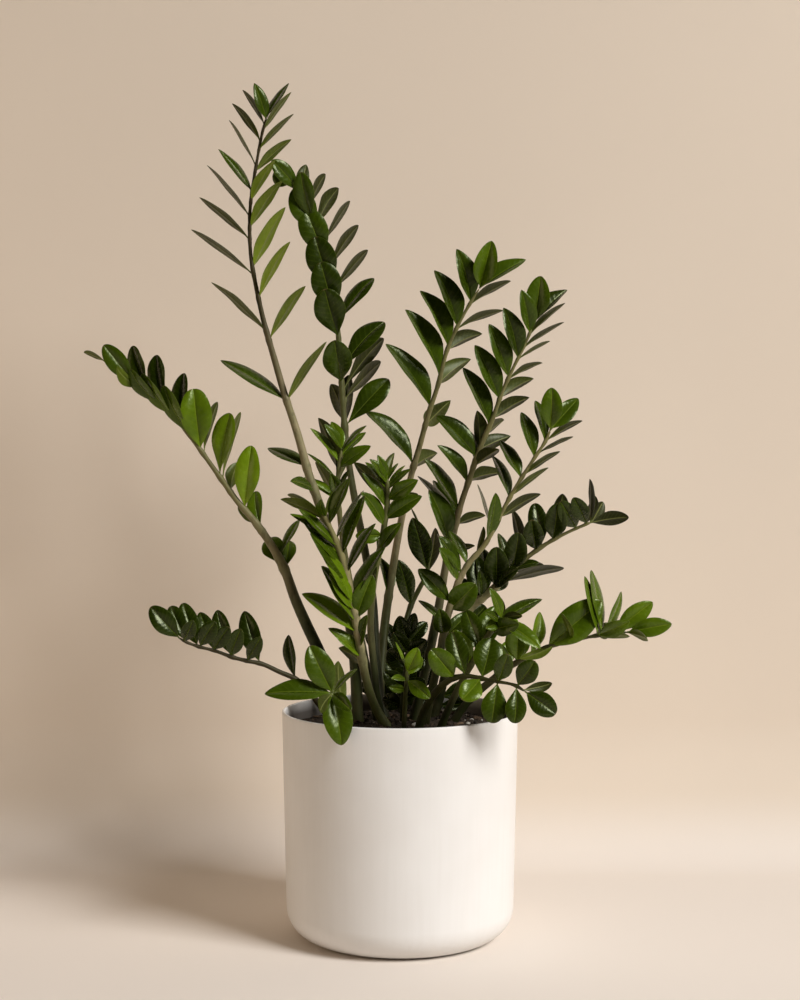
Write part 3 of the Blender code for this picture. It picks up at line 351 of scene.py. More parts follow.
# tone: 0 dark old leaf .. 1 bright young leaf; spread: leaf-to-leaf
# variation; brown: how brown the leaf axis is; pale: how pale the stalk is
LOOK = {
    "frond_tall_left":     dict(tone=0.36, spread=0.08, brown=0.95, pale=0.85, late=0.12, round=0.00, fold=1.0, peak=0.46,
                                tones={13: 0.58, 14: 0.60, 15: 0.62, 16: 0.66, 17: 0.70, 18: 0.74, 19: 0.72, 20: 0.62, 21: 0.62}),
    "frond_tall_braid":    dict(tone=0.27, spread=0.06, brown=0.30, pale=0.30, late=0.00, round=0.90, fold=0.8, peak=0.62,
                                tones={0: 0.30, 4: 0.36, 5: 0.40, 6: 0.46, 7: 0.42, 8: 0.40}),
    # the raised tones of leaves 1 to 4, 11 and 12 are partly their own lighter green, partly painted light and
    # highlight
    "frond_front_left":    dict(tone=0.47, spread=0.14, brown=0.15, pale=1.00, late=0.25, round=0.30, fold=1.2, peak=0.48,
                                tones={1: 0.66, 2: 0.62, 3: 0.56, 4: 0.56, 11: 0.58, 12: 0.54}),
    "frond_young_left":    dict(tone=0.46, spread=0.16, brown=0.05, pale=0.55, late=0.00, round=0.20, fold=1.5, peak=0.47),
    "frond_young_mid":     dict(tone=0.46, spread=0.16, brown=0.05, pale=0.35, late=0.00, round=0.20, fold=1.5, peak=0.47),
    # the raised tones of the top leaves are painted highlight, lightened to stand in for their glossy sheen
    "frond_mid_right":     dict(tone=0.34, spread=0.08, brown=0.15, pale=0.80, late=0.15, round=0.25, fold=2.4, peak=0.48,
                                tones={0: 0.48, 1: 0.40}),
    # tone 0.03 makes these back leaves near black: real leaves, coloured as painted shade for the deep shadow among
    # the lower stalks
    "frond_back_dark":     dict(tone=0.03, spread=0.03, brown=0.45, pale=0.00, late=0.00, round=0.60, fold=1.0, peak=0.50),
    # the raised tones of the top leaves are painted highlight, lightened to stand in for their glossy sheen
    "frond_right":         dict(tone=0.31, spread=0.10, brown=0.15, pale=0.75, late=0.15, round=0.30, fold=2.2, peak=0.48,
                                tones={0: 0.42, 2: 0.42}),
    "frond_right_low":     dict(tone=0.36, spread=0.12, brown=0.15, pale=0.80, late=0.10, round=0.60, fold=1.4, peak=0.50),
    "frond_right_arch":    dict(tone=0.15, spread=0.07, brown=0.15, pale=0.70, late=0.10, round=1.10, fold=1.1, peak=0.54),
    "frond_right_front":   dict(tone=0.50, spread=0.18, brown=0.15, pale=0.25, late=0.00, round=0.30, fold=1.0, peak=0.48),
    "frond_low_right":     dict(tone=0.60, spread=0.08, brown=0.55, pale=0.25, late=-0.10, round=0.70, fold=0.8, peak=0.52),
    "frond_low_front":     dict(tone=0.27, spread=0.08, brown=0.55, pale=0.10, late=-0.20, round=1.20, fold=0.7, peak=0.56,
                                tones={5: 0.56, 6: 0.52}),
    "frond_low_left":      dict(tone=0.19, spread=0.06, brown=0.90, pale=0.30, late=-0.40, round=0.90, fold=0.9, peak=0.54),
    "frond_front_rosette": dict(tone=0.40, spread=0.08, brown=0.25, pale=0.15, late=0.00, round=0.40, fold=1.0, peak=0.50),
    "frond_left_arch":     dict(tone=0.50, spread=0.10, brown=0.35, pale=0.76, late=0.05, round=1.60, fold=1.2, peak=0.60,
                                tones={9: 0.60, 11: 0.68, 14: 0.72, 2: 0.30, 3: 0.32, 4: 0.26}),
    "frond_small_front":   dict(tone=0.62, spread=0.10, brown=0.05, pale=0.20, late=0.00, round=0.40, fold=1.0, peak=0.50),
    # tone 0.03 makes these inner leaves near black: real leaves, coloured as painted shade for the deep shadow among
    # the lower stalks
    "frond_inner":         dict(tone=0.03, spread=0.03, brown=0.40, pale=0.00, late=0.00, round=0.50, fold=1.0, peak=0.50),
}

# ------------------------------------------------------------ node helpers


def new_material(name):
    m = bpy.data.materials.new(name)
    m.use_nodes = True
    nt = m.node_tree
    return m, nt, nt.nodes["Principled BSDF"]


def node(nt, kind, **kw):
    n = nt.nodes.new(kind)
    for k, v in kw.items():
        if k.startswith("i_"):
            n.inputs[k[2:].replace("_", " ")].default_value = v
        else:
            setattr(n, k, v)
    return n


def attr(nt, name):
    return node(nt, "ShaderNodeAttribute", attribute_name=name)


def maths(nt, op, a, b=None, c=None, clamp=False):
    n = node(nt, "ShaderNodeMath", operation=op)
    n.use_clamp = clamp
    for i, v in enumerate((a, b, c)):
        if v is None:
            continue
        if isinstance(v, (int, float)):
            n.inputs[i].default_value = v
        else:
            nt.links.new(v, n.inputs[i])
    return n.outputs[0]


def ramp(nt, fac, stops, mode="LINEAR"):
    n = node(nt, "ShaderNodeValToRGB")
    cr = n.color_ramp
    cr.interpolation = mode
    while len(cr.elements) > 1:
        cr.elements.remove(cr.elements[-1])
    cr.elements[0].position = stops[0][0]
    cr.elements[0].color = (*stops[0][1], 1)
    for p, c in stops[1:]:
        e = cr.elements.new(p)
        e.color = (*c, 1)
    nt.links.new(fac, n.inputs[0])
    return n.outputs[0]


def span(nt, v, a, b, lo=0.0, hi=1.0):
    n = node(nt, "ShaderNodeMapRange", interpolation_type="SMOOTHSTEP")
    for i, x in ((1, a), (2, b), (3, lo), (4, hi)):
        n.inputs[i].default_value = x
    nt.links.new(v, n.inputs[0])
    return n.outputs[0]


def mix(nt, fac, a, b, blend="MIX"):
    n = node(nt, "ShaderNodeMix", data_type="RGBA", blend_type=blend)
    for i, v in ((0, fac), (6, a), (7, b)):
        if isinstance(v, (int, float)):
            n.inputs[i].default_value = v
        elif isinstance(v, tuple):
            n.inputs[i].default_value = (*v, 1)
        else:
            nt.links.new(v, n.inputs[i])
    return n.outputs[2]


def noise_tex(nt, coord, scale, detail=3.0, rough=0.5, kind="Fac"):
    n = node(nt, "ShaderNodeTexNoise", i_Scale=scale, i_Detail=detail, i_Roughness=rough)
    nt.links.new(coord, n.inputs["Vector"])
    return n.outputs[kind]


def stretched(nt, coord, sx, sy, sz):
    n = node(nt, "ShaderNodeMapping")
    n.inputs["Scale"].default_value = (sx, sy, sz)
    nt.links.new(coord, n.inputs["Vector"])
    return n.outputs[0]


def bump(nt, height, strength, dist, prev=None):
    n = node(nt, "ShaderNodeBump", i_Strength=strength, i_Distance=dist)
    nt.links.new(height, n.inputs["Height"])
    if prev is not None:
        nt.links.new(prev, n.inputs["Normal"])
    return n.outputs[0]


def place(nt):
    return node(nt, "ShaderNodeTexCoord").outputs["Object"]


# --------------------------------------------------------------- materials
def leaf_material():
    m, nt, b = new_material("zz_leaf")
    L = nt.links
    co = place(nt)
    t = attr(nt, "leaf_t").outputs["Fac"]
    s = attr(nt, "leaf_s").outputs["Fac"]          # -1 .. 1 across the blade
    under = attr(nt, "leaf_under").outputs["Fac"]
    tone = attr(nt, "leaf_tone").outputs["Fac"]
    wide = attr(nt, "leaf_half").outputs["Fac"]    # half width here, in mm
    a = maths(nt, "ABSOLUTE", s)
    off = maths(nt, "MULTIPLY", a, wide)            # mm from the midrib

    big = noise_tex(nt, co, 26.0, 2.0)
    mid = noise_tex(nt, co, 170.0, 3.0)
    fine = noise_tex(nt, co, 900.0, 2.0)
    v = maths(nt, "ADD", tone, maths(nt, "MULTIPLY", maths(nt, "SUBTRACT", big, 0.5), 0.34))
    v = maths(nt, "ADD", v, maths(nt, "MULTIPLY", maths(nt, "SUBTRACT", mid, 0.5), 0.09))
    # the blade is a little lighter towards its base
    v = maths(nt, "ADD", v, span(nt, t, 0.35, 0.0, 0.0, 0.14), clamp=True)
    upper = ramp(nt, v, [(0.0, (0.0070, 0.0115, 0.0004)), (0.25, (0.0190, 0.0320, 0.0009)),
                         (0.5, (0.0480, 0.0820, 0.0020)), (0.75, (0.1180, 0.1900, 0.0045)),
                         (1.0, (0.2300, 0.3400, 0.0100))])
    # side veins: faint darker and lighter bands running to the margin
    vein = maths(nt, "SINE", maths(nt, "MULTIPLY",
                 maths(nt, "SUBTRACT", t, maths(nt, "MULTIPLY", a, 0.16)), 62.0))
    veins = span(nt, vein, 0.55, 1.0)
    upper = mix(nt, maths(nt, "MULTIPLY", veins, 0.07), upper, (0.130, 0.190, 0.020))
    # pale line along the midrib
    rib = span(nt, off, 0.95, 0.25)
    rib = maths(nt, "MULTIPLY", rib, span(nt, t, 1.0, 0.86))
    pale = mix(nt, tone, (0.085, 0.120, 0.014), (0.300, 0.380, 0.030))
    upper = mix(nt, maths(nt, "MULTIPLY", rib, 0.50), upper, pale)
    # thin light margin and a slightly dried tip
    edge = span(nt, a, 0.955, 1.0)
    upper = mix(nt, maths(nt, "MULTIPLY", edge, 0.45), upper, (0.130, 0.175, 0.020))
    tip = maths(nt, "MULTIPLY", span(nt, t, 0.965, 1.0), span(nt, mid, 0.35, 0.6))
    upper = mix(nt, maths(nt, "MULTIPLY", tip, 0.6), upper, (0.13, 0.085, 0.035))

    lower = ramp(nt, v, [(0.0, (0.0080, 0.0092, 0.0010)), (0.3, (0.0215, 0.0250, 0.0020)),
                         (0.6, (0.070, 0.093, 0.0060)), (1.0, (0.185, 0.245, 0.0150))])
    lower = mix(nt, span(nt, fine, 0.45, 0.75, 0.0, 0.07), lower, (0.15, 0.14, 0.04))
    lower = mix(nt, maths(nt, "MULTIPLY", rib, 0.65), lower, (0.20, 0.21, 0.06))
    lower = mix(nt, maths(nt, "MULTIPLY", veins, 0.10), lower, (0.16, 0.17, 0.05))
    col = mix(nt, under, upper, lower)
    # the short stalk of the leaflet
    foot = span(nt, t, 0.085, 0.02)
    col = mix(nt, foot, col, (0.095, 0.115, 0.022))
    L.new(col, b.inputs["Base Color"])

    r = maths(nt, "ADD", 0.165, maths(nt, "MULTIPLY", mid, 0.12))
    r = maths(nt, "ADD", r, maths(nt, "MULTIPLY", big, 0.06))
    r = maths(nt, "ADD", r, maths(nt, "MULTIPLY", under, 0.22))
    L.new(r, b.inputs["Roughness"])
    b.inputs["IOR"].default_value = 1.45
    b.inputs["Specular IOR Level"].default_value = 0.34
    b.inputs["Specular Tint"].default_value = (0.90, 1.0, 0.60, 1.0)
    b.inputs["Coat Weight"].default_value = 0.10
    b.inputs["Coat Roughness"].default_value = 0.24

    # puckered surface between the veins, and the groove of the midrib
    quilt = noise_tex(nt, stretched(nt, co, 1, 1, 1), 150.0, 2.0, 0.45)
    n1 = bump(nt, quilt, 0.42, 0.0016)
    n2 = bump(nt, vein, 0.10, 0.0004, n1)
    n3 = bump(nt, span(nt, off, 0.0, 0.8), 0.40, 0.0005, n2)
    n4 = bump(nt, fine, 0.10, 0.0003, n3)
    L.new(n4, b.inputs["Normal"])
    return m


def stalk_material():
    m, nt, b = new_material("zz_stalk")
    L = nt.links
    co = place(nt)
    h = attr(nt, "stalk_h").outputs["Fac"]          # how far into the leaf axis
    up = attr(nt, "stalk_at").outputs["Fac"]        # 0 soil .. 1 tip
    brown = attr(nt, "stalk_brown").outputs["Fac"]
    pale = attr(nt, "stalk_pale").outputs["Fac"]
    spot = noise_tex(nt, stretched(nt, co, 1, 1, 0.38), 120.0, 4.0, 0.6)
    band = noise_tex(nt, stretched(nt, co, 0.6, 0.6, 1.0), 42.0, 3.0)
    fine = noise_tex(nt, stretched(nt, co, 1, 1, 0.12), 900.0, 2.0)
    green = mix(nt, pale, (0.030, 0.039, 0.0075), (0.400, 0.325, 0.185))
    # painted shade: near the soil the stalks are darkened to near black, and their light bands and flecks are
    # weakened, standing in for the shade among the crowded stalk bases; only the olive of the palest stalks there is
    # their own colour
    foot = mix(nt, span(nt, pale, 0.70, 1.05), (0.0105, 0.0145, 0.0022), (0.066, 0.080, 0.018))
    green = mix(nt, span(nt, up, 0.54, 0.26), green, foot)
    green = mix(nt, maths(nt, "MULTIPLY", span(nt, band, 0.35, 0.65, 0.0, 0.35), span(nt, up, 0.15, 0.42, 0.25, 1.0)), green,
                mix(nt, pale, (0.040, 0.055, 0.010), (0.185, 0.195, 0.075)))
    dark = mix(nt, pale, (0.010, 0.009, 0.004), (0.060, 0.050, 0.020))
    much = maths(nt, "ADD", 0.12, maths(nt, "MULTIPLY", span(nt, h, 0.35, 0.0), 0.10))
    spots = maths(nt, "GREATER_THAN", maths(nt, "ADD", spot, much), 0.70)
    soft = span(nt, maths(nt, "ADD", spot, much), 0.64, 0.74)
    base = mix(nt, maths(nt, "MULTIPLY", soft, 0.42), green, dark)
    axis = mix(nt, brown, mix(nt, pale, (0.040, 0.060, 0.007), (0.240, 0.215, 0.085)),
               (0.027, 0.0155, 0.0065))
    axis = mix(nt, maths(nt, "MULTIPLY", span(nt, spot, 0.5, 0.7), 0.5), axis, dark)
    col = mix(nt, span(nt, h, 0.30, 0.62), base, axis)
    col = mix(nt, maths(nt, "MULTIPLY", span(nt, fine, 0.4, 0.8, 0.0, 0.08), span(nt, up, 0.10, 0.40, 0.2, 1.0)), col, mix(nt, pale, (0.07, 0.08, 0.02), (0.34, 0.32, 0.16)))
    L.new(col, b.inputs["Base Color"])
    L.new(maths(nt, "ADD", 0.38, maths(nt, "MULTIPLY", band, 0.24)), b.inputs["Roughness"])
    b.inputs["Specular IOR Level"].default_value = 0.30
    b.inputs["Specular Tint"].default_value = (0.95, 1.0, 0.75, 1.0)
    n1 = bump(nt, fine, 0.30, 0.0004)
    n2 = bump(nt, spot, 0.25, 0.0006, n1)
    L.new(n2, b.inputs["Normal"])
    return m


def pot_material():
    m, nt, b = new_material("planter_satin_white")
    L = nt.links
    co = place(nt)
    cloud = noise_tex(nt, co, 7.0, 3.0)
    streak = noise_tex(nt, stretched(nt, co, 1, 1, 0.05), 160.0, 3.0)
    peel = noise_tex(nt, co, 620.0, 2.0)
    z = node(nt, "ShaderNodeSeparateXYZ")
    L.new(co, z.inputs[0])
    col = mix(nt, span(nt, cloud, 0.3, 0.7), (0.805, 0.787, 0.766), (0.855, 0.843, 0.828))
    col = mix(nt, span(nt, streak, 0.35, 0.75, 0.0, 0.30), col, (0.785, 0.767, 0.742))
    # painted shade: the interior wall below the lip is darkened to stand in for the shadow down in the planter
    interior_shade = attr(nt, "shade_in_planter").outputs["Fac"]
    col = mix(nt, maths(nt, "MULTIPLY", interior_shade, 0.92), col, (0.150, 0.128, 0.110))
    # a trace of dust low on the foot
    low = maths(nt, "MULTIPLY", span(nt, z.outputs["Z"], 0.030, 0.0), span(nt, cloud, 0.35, 0.7))
    col = mix(nt, maths(nt, "MULTIPLY", low, 0.35), col, (0.52, 0.46, 0.39))
    L.new(col, b.inputs["Base Color"])
    r = maths(nt, "ADD", 0.34, maths(nt, "MULTIPLY", streak, 0.16))
    r = maths(nt, "ADD", r, maths(nt, "MULTIPLY", cloud, 0.06))
    L.new(r, b.inputs["Roughness"])
    b.inputs["Specular IOR Level"].default_value = 0.5
    n1 = bump(nt, peel, 0.05, 0.0003)
    n2 = bump(nt, streak, 0.05, 0.0006, n1)
    L.new(n2, b.inputs["Normal"])
    return m


def soil_material(name, crumbs):
    m, nt, b = new_material(name)
    L = nt.links
    co = place(nt)
    lump = noise_tex(nt, co, 95.0, 4.0, 0.6)
    fine = noise_tex(nt, co, 520.0, 3.0, 0.6)
    vor = node(nt, "ShaderNodeTexVoronoi", i_Scale=300.0)
    L.new(co, vor.inputs["Vector"])
    # painted shade: the mix colours are set darker than the soil's own brown, for the shade it lies in under the
    # foliage
    col = ramp(nt, lump, [(0.25, (0.007, 0.0048, 0.0030)), (0.5, (0.019, 0.0130, 0.0084)),
                          (0.75, (0.050, 0.034, 0.022))])
    col = mix(nt, span(nt, fine, 0.45, 0.75, 0.0, 0.6), col, (0.055, 0.036, 0.023))
    if crumbs:
        tone = attr(nt, "crumb_tone").outputs["Fac"]
        own = ramp(nt, tone, [(0.0, (0.012, 0.008, 0.005)), (0.55, (0.060, 0.038, 0.022)),
                              (0.82, (0.150, 0.095, 0.055)), (0.90, (0.30, 0.26, 0.20)),
                              (1.0, (0.62, 0.60, 0.55))])
        col = mix(nt, 0.75, col, own)
    else:
        specks = maths(nt, "GREATER_THAN", vor.outputs["Color"], 0.90)
        col = mix(nt, maths(nt, "MULTIPLY", specks, 0.35), col, (0.26, 0.21, 0.15))
    L.new(col, b.inputs["Base Color"])
    L.new(maths(nt, "ADD", 0.72, maths(nt, "MULTIPLY", lump, 0.30), clamp=True), b.inputs["Roughness"])
    b.inputs["Specular IOR Level"].default_value = 0.3
    n1 = bump(nt, lump, 0.6, 0.003)
    n2 = bump(nt, fine, 0.7, 0.001, n1)
    n3 = bump(nt, vor.outputs["Distance"], 0.5, 0.0015, n2)
    L.new(n3, b.inputs["Normal"])
    return m


# ------------------------------------------------------------------ pieces
def make_piece(name, verts, faces, mat, smooth=True, points=None, sharp=None):
    me = bpy.data.meshes.new(name)
    me.from_pydata(np.asarray(verts, float).tolist(), [], faces)
    me.validate()
    for key, values in (points or {}).items():
        at = me.attributes.new(key, 'FLOAT', 'POINT')
        at.data.foreach_set("value", np.asarray(values, np.float32))
    if smooth:
        me.shade_smooth()
    if sharp:
        me.set_sharp_from_angle(angle=math.radians(sharp))
    me.materials.append(mat)
    me.update()
    ob = bpy.data.objects.new(name, me)
    bpy.context.scene.collection.objects.link(ob)
    return ob


def faces_out(verts, faces):
    """Faces of a closed body turned outwards, by its signed volume."""
    v = np.asarray(verts, float)
    vol = 0.0
    for f in faces:
        for i in range(1, len(f) - 1):
            vol += np.dot(v[f[0]], np.cross(v[f[i]], v[f[i + 1]]))
    return faces if vol > 0 else [tuple(reversed(f)) for f in faces]


# stations along and across a blade
ACROSS = np.array([-1, -.93, -.80, -.62, -.42, -.24, -.10, 0, .10, .24, .42, .62, .80, .93, 1.0])
ALONG = np.array([0, .015, .035, .06, .09, .13, .18, .24, .31, .38, .45, .52, .59, .66, .72,
                  .78, .835, .88, .92, .952, .976, .990, .997, 1.0])


NS = len(ACROSS)
RING = np.concatenate([ACROSS, ACROSS[::-1]])[None, :]
FACE = np.concatenate([np.ones(NS), -np.ones(NS)])[None, :]
TT = ALONG[:, None]


def blade_faces():
    n = 2 * NS
    F = []
    for i in range(len(ALONG) - 1):
        for j in range(n):
            k = (j + 1) % n
            F.append((i * n + j, i * n + k, (i + 1) * n + k, (i + 1) * n + j))
    F.append(tuple(range(n - 1, -1, -1)))
    last = (len(ALONG) - 1) * n
    F.append(tuple(range(last, last + n)))
    return F


BLADE_F = blade_faces()


def blade(fr, rng, tone, look):
    """One leaflet as a thin closed body: petiolule, folded blade, midrib."""
    base, ax, side, up, length, width, face = fr
    base, ax, side, up = (np.array(q)[None, None, :] for q in (base, ax, side, up))
    shown = min(1.0, abs(face) / 0.75)
    peak = look["peak"] + rng.uniform(-0.04, 0.04)
    slim = length / max(width, 1e-4)
    blunt = (0.60 if slim < 2.3 else 0.72) - 0.13 * look["round"]
    fold0 = rng.uniform(0.22, 0.32) * look["fold"] * (0.14 + 0.86 * shown ** 1.5)
    bow = BOW * (0.18 + 0.82 * shown ** 1.5)
    cup = 0.085 * (0.2 + 0.8 * shown)
    twist = math.radians(rng.uniform(-11, 11)) * (0.25 + 0.75 * shown)
    bend = rng.uniform(-0.022, 0.022)
    wave, phase = rng.uniform(0.02, 0.055), rng.uniform(0, 6.28)
    waves = rng.uniform(1.2, 2.4)
    droop = rng.uniform(0.00, 0.05) * (0.3 + 0.7 * shown)
    wave = wave * (0.4 + 0.6 * shown)
    a = math.log(0.5) / math.log(peak)
    x = np.clip((TT - 0.045) / 0.955, 0.0, 1.0)
    q = np.clip(np.sin(math.pi * x ** a), 0, 1)
    power = np.where(x < peak, 0.90, blunt)
    half = width / 2 * q ** power
    foot = 0.00105 * np.clip(1 - (TT - 0.05) / 0.05, 0.0, 1.0)
    half = np.maximum(np.maximum(half, foot), 0.00018)
    turn = (twist * (TT - 0.3))[:, :, None]
    sd = side * np.cos(turn) + up * np.sin(turn)
    u = up * np.cos(turn) - side * np.sin(turn)
    fold = fold0 * (1.45 - 0.85 * TT)
    arch = (4 * TT * (1 - TT))[:, :, None]
    centre = base + ax * (length * TT)[:, :, None] + side * (bend * length * arch) \
        + up * (bow * length * arch
                - (droop * length * np.clip(TT - 0.6, 0, 1) ** 2 / 0.16)[:, :, None])
    thick = 0.00062 + 0.0011 * np.clip(1 - TT / 0.10, 0, 1)
    k = np.abs(RING)
    z = half * (fold * (np.sqrt(k * k + 0.006) - 0.077)
                + cup * np.sin(math.pi * k) - 0.05 * k ** 4)
    z = z + half * wave * np.sin(waves * 6.283 * TT + phase + np.where(RING > 0, 0.9, 0.0)) * k * k
    z = z + FACE * thick * (1 - 0.55 * k ** 3) / 2
    d = k * half
    z = z - np.where(FACE > 0, 0.00030 * np.exp(-(d / 0.0008) ** 2) * (TT > 0.08),
                     0.00062 * np.exp(-(d / 0.0010) ** 2) * (1 - 0.75 * TT))
    V = centre + sd * (half * RING)[:, :, None] + u * z[:, :, None]
    V = V.reshape(-1, 3)
    n = 2 * NS
    full = lambda w: np.broadcast_to(w, (len(ALONG), n)).reshape(-1)
    return V, full(TT), full(RING), full(np.where(FACE > 0, 0.0, 1.0)), full(half * 1000), np.full(len(V), tone)


def curve_of(ctrl):
    """Dense smooth line and radius through the drawn stalk."""
    P = [np.array([*sight(c, r, d)]) for c, r, d, _ in ctrl]
    R = [w * SQ for *_, w in ctrl]
    P = [2 * P[0] - P[1]] + P + [2 * P[-1] - P[-2]]
    R = [R[0]] + R + [R[-1]]
    out, rad = [], []
    for i in range(1, len(P) - 2):
        for k in range(16):
            t = k / 16.0
            a, b, c, d = P[i - 1], P[i], P[i + 1], P[i + 2]
            out.append(0.5 * ((2 * b) + (c - a) * t + (2 * a - 5 * b + 4 * c - d) * t * t
                              + (3 * b - a - 3 * c + d) * t ** 3))
            rad.append(R[i] + (R[i + 1] - R[i]) * t)
    out.append(P[-2])
    rad.append(R[-2])
    return np.array(out), np.array(rad)


def leaf_frames(f, dense):
    flat = np.array([picture(p) for p in dense])
    out = []
    for bc, br, tc, tr, seen, dd in f["leaves"]:
        k = int(np.argmin((flat[:, 0] - bc) ** 2 + (flat[:, 1] - br) ** 2))
        base = Vector(dense[k])
        k0, k1 = max(0, k - 4), min(len(dense) - 1, k + 4)
        along = Vector(dense[k1] - dense[k0]).normalized()
        tip = sight(tc, tr, base.y / SQ + dd)
        ax = tip - base
        length = ax.length
        ax.normalize()
        true_w = max(abs(seen) * SQ, LEAF_SLIM * length)
        true_w = min(true_w, max(abs(seen) * SQ, 0.036))
        face = max(-1.0, min(1.0, seen * SQ / true_w))
        look = (EYE - base).normalized()
        v = (look - ax * look.dot(ax)).normalized()
        e = ax.cross(v)
        if e.dot(along) < 0:
            e = -e
        up = (v * face + e * math.sqrt(max(0.0, 1 - face * face))).normalized()
        side = up.cross(ax).normalized()
        out.append((base, ax, side, up, length, true_w, face, k))
    return out


def stalk_piece(name, dense, rad, joints, look, mat, rng):
    """Round tapering stalk with swollen base, nodes and a pointed bud."""
    ahead = dense[1] - dense[0]
    ahead = ahead / np.linalg.norm(ahead)
    foot = dense[0] - ahead * 0.014
    foot[2] = min(foot[2], SOIL_TOP - 0.006)
    under = foot + np.array([-ahead[0] * 0.004, -ahead[1] * 0.004, -0.018])
    pts = np.vstack([under, foot, dense])
    rr = np.concatenate([[rad[0] * 1.0, rad[0] * 1.08], rad])
    seg = np.linalg.norm(np.diff(pts, axis=0), axis=1)
    s = np.concatenate([[0], np.cumsum(seg)])
    own = s[2:]
    n = max(24, int(s[-1] / 0.0042))
    q = np.linspace(0, s[-1], n + 1)
    P = np.stack([np.interp(q, s, pts[:, k]) for k in range(3)], 1)
    R = np.interp(q, s, rr)
    for k in range(2):                                # soften the polyline
        P[1:-1] = (P[:-2] + 2 * P[1:-1] + P[2:]) / 4
    soil_s = s[2]
    R = R * (1 + 0.20 * np.exp(-((q - soil_s) / 0.020) ** 2) * (q > 0))
    for k in joints:
        R = R + (0.00035 + 0.08 * np.interp(own[k], q, R)) * np.exp(-((q - own[k]) / 0.0040) ** 2)
    end = s[-1] - q
    R = np.where(end < 0.010, R * np.sqrt(np.clip(end / 0.010, 0, 1)) + 0.00004, R)
    sides = 16
    V, F, H, A = [], [], [], []
    tang = np.gradient(P, axis=0)
    tang /= np.linalg.norm(tang, axis=1)[:, None]
    x = np.cross(tang[0], (0, 1, 0.2))
    x /= np.linalg.norm(x)
    ph = rng.uniform(0, 6.28)
    for i in range(len(P)):
        x = x - tang[i] * np.dot(x, tang[i])
        x /= np.linalg.norm(x)
        y = np.cross(tang[i], x)
        for j in range(sides):
            g = 2 * math.pi * j / sides
            r = R[i] * (1 + 0.045 * math.cos(2 * g + ph) + 0.02 * math.cos(5 * g + ph * 2 + q[i] * 40))
            V.append(P[i] + (x * math.cos(g) + y * math.sin(g)) * r)
            H.append(max(0.0, q[i] / s[-1] - look["late"]))
            A.append(q[i] / s[-1])
    for i in range(len(P) - 1):
        for j in range(sides):
            k = (j + 1) % sides
            F.append((i * sides + j, i * sides + k, (i + 1) * sides + k, (i + 1) * sides + j))
    F.append(tuple(range(sides - 1, -1, -1)))
    last = (len(P) - 1) * sides
    F.append(tuple(range(last, last + sides)))
    ob = make_piece(name, V, faces_out(V, F), mat, points={
        "stalk_h": H, "stalk_at": A, "stalk_brown": [look["brown"]] * len(V), "stalk_pale": [look["pale"]] * len(V)})
    return ob


def wall_r(z):
    return FOOT_WALL_R + (RIM_R - FOOT_WALL_R) * (z - FOOT_ROUND) / (POT_H - FOOT_ROUND)


def arc(cx, cz, r, a0, a1, n):
    return [(cx + r * math.cos(math.radians(a0 + (a1 - a0) * i / n)),
             cz + r * math.sin(math.radians(a0 + (a1 - a0) * i / n))) for i in range(n + 1)]


def turned(name, outline, mat, around, shift=None, sharp=None):
    """Closed turned body: the outline runs from axis to axis."""
    V, F = [], []
    ring = []
    for r, z in outline:
        if r < 1e-7:
            ring.append([len(V)])
            V.append(np.array([0.0, 0.0, z]))
        else:
            ring.append(list(range(len(V), len(V) + around)))
            for j in range(around):
                g = 2 * math.pi * j / around
                V.append(np.array([r * math.cos(g), r * math.sin(g), z]))
    for a, b in zip(ring, ring[1:]):
        for j in range(around):
            k = (j + 1) % around
            if len(a) == 1 and len(b) == 1:
                continue
            if len(a) == 1:
                F.append((a[0], b[k], b[j]))
            elif len(b) == 1:
                F.append((a[j], a[k], b[0]))
            else:
                F.append((a[j], a[k], b[k], b[j]))
    if shift:
        V = [shift(v) for v in V]
    return make_piece(name, V, faces_out(V, F), mat, sharp=sharp)


def pot_outline():
    rf = FOOT_ROUND
    cx = FOOT_WALL_R - rf
    ri = rf - WALL
    out = [(0.0, 0.0006), (0.05, 0.0006), (cx - 0.006, 0.0006), (cx - 0.0045, 0.0003), (cx - 0.003, 0.0)]
    out += arc(cx, rf, rf, -90, 0, 26)
    zs = np.linspace(rf, POT_H - LIP_ROUND, 22)[1:]
    out += [(wall_r(z), z) for z in zs]
    lip = RIM_R - WALL / 2
    rr = WALL / 2
    out += [(lip + rr * math.cos(math.radians(g)), POT_H - LIP_ROUND + LIP_ROUND * math.sin(math.radians(g)))
            for g in np.linspace(0, 180, 13)[1:]]
    zs = np.linspace(POT_H - LIP_ROUND, rf, 20)[1:]
    out += [(wall_r(z) - WALL, z) for z in zs]
    out += [(r, max(z, FLOOR)) for r, z in arc(cx, rf, ri, 0, -90, 16)][1:]
    out += [(0.0, FLOOR)]
    keep = []
    for p in out:
        if not keep or abs(p[0] - keep[-1][0]) + abs(p[1] - keep[-1][1]) > 1e-5:
            keep.append(p)
    return keep


def soil_outline():
    rf = FOOT_ROUND
    cx = FOOT_WALL_R - rf
    ri = rf - WALL - GAP
    low = [(0.0, FLOOR + GAP)]
    low += [(r, max(z, FLOOR + GAP)) for r, z in arc(cx, rf, ri, -90, 0, 12)]
    zs = np.linspace(rf, SOIL_TOP, 8)[1:]
    low += [(wall_r(z) - WALL - GAP, z) for z in zs]
    r0 = wall_r(SOIL_TOP) - WALL - GAP
    rs = np.linspace(1, 0, 74)[1:]
    low += [(r0 * f, SOIL_TOP + SOIL_DOME * (1 - f * f)) for f in rs]
    keep = []
    for p in low:
        if not keep or abs(p[0] - keep[-1][0]) + abs(p[1] - keep[-1][1]) > 1e-5:
            keep.append(p)
    return keep


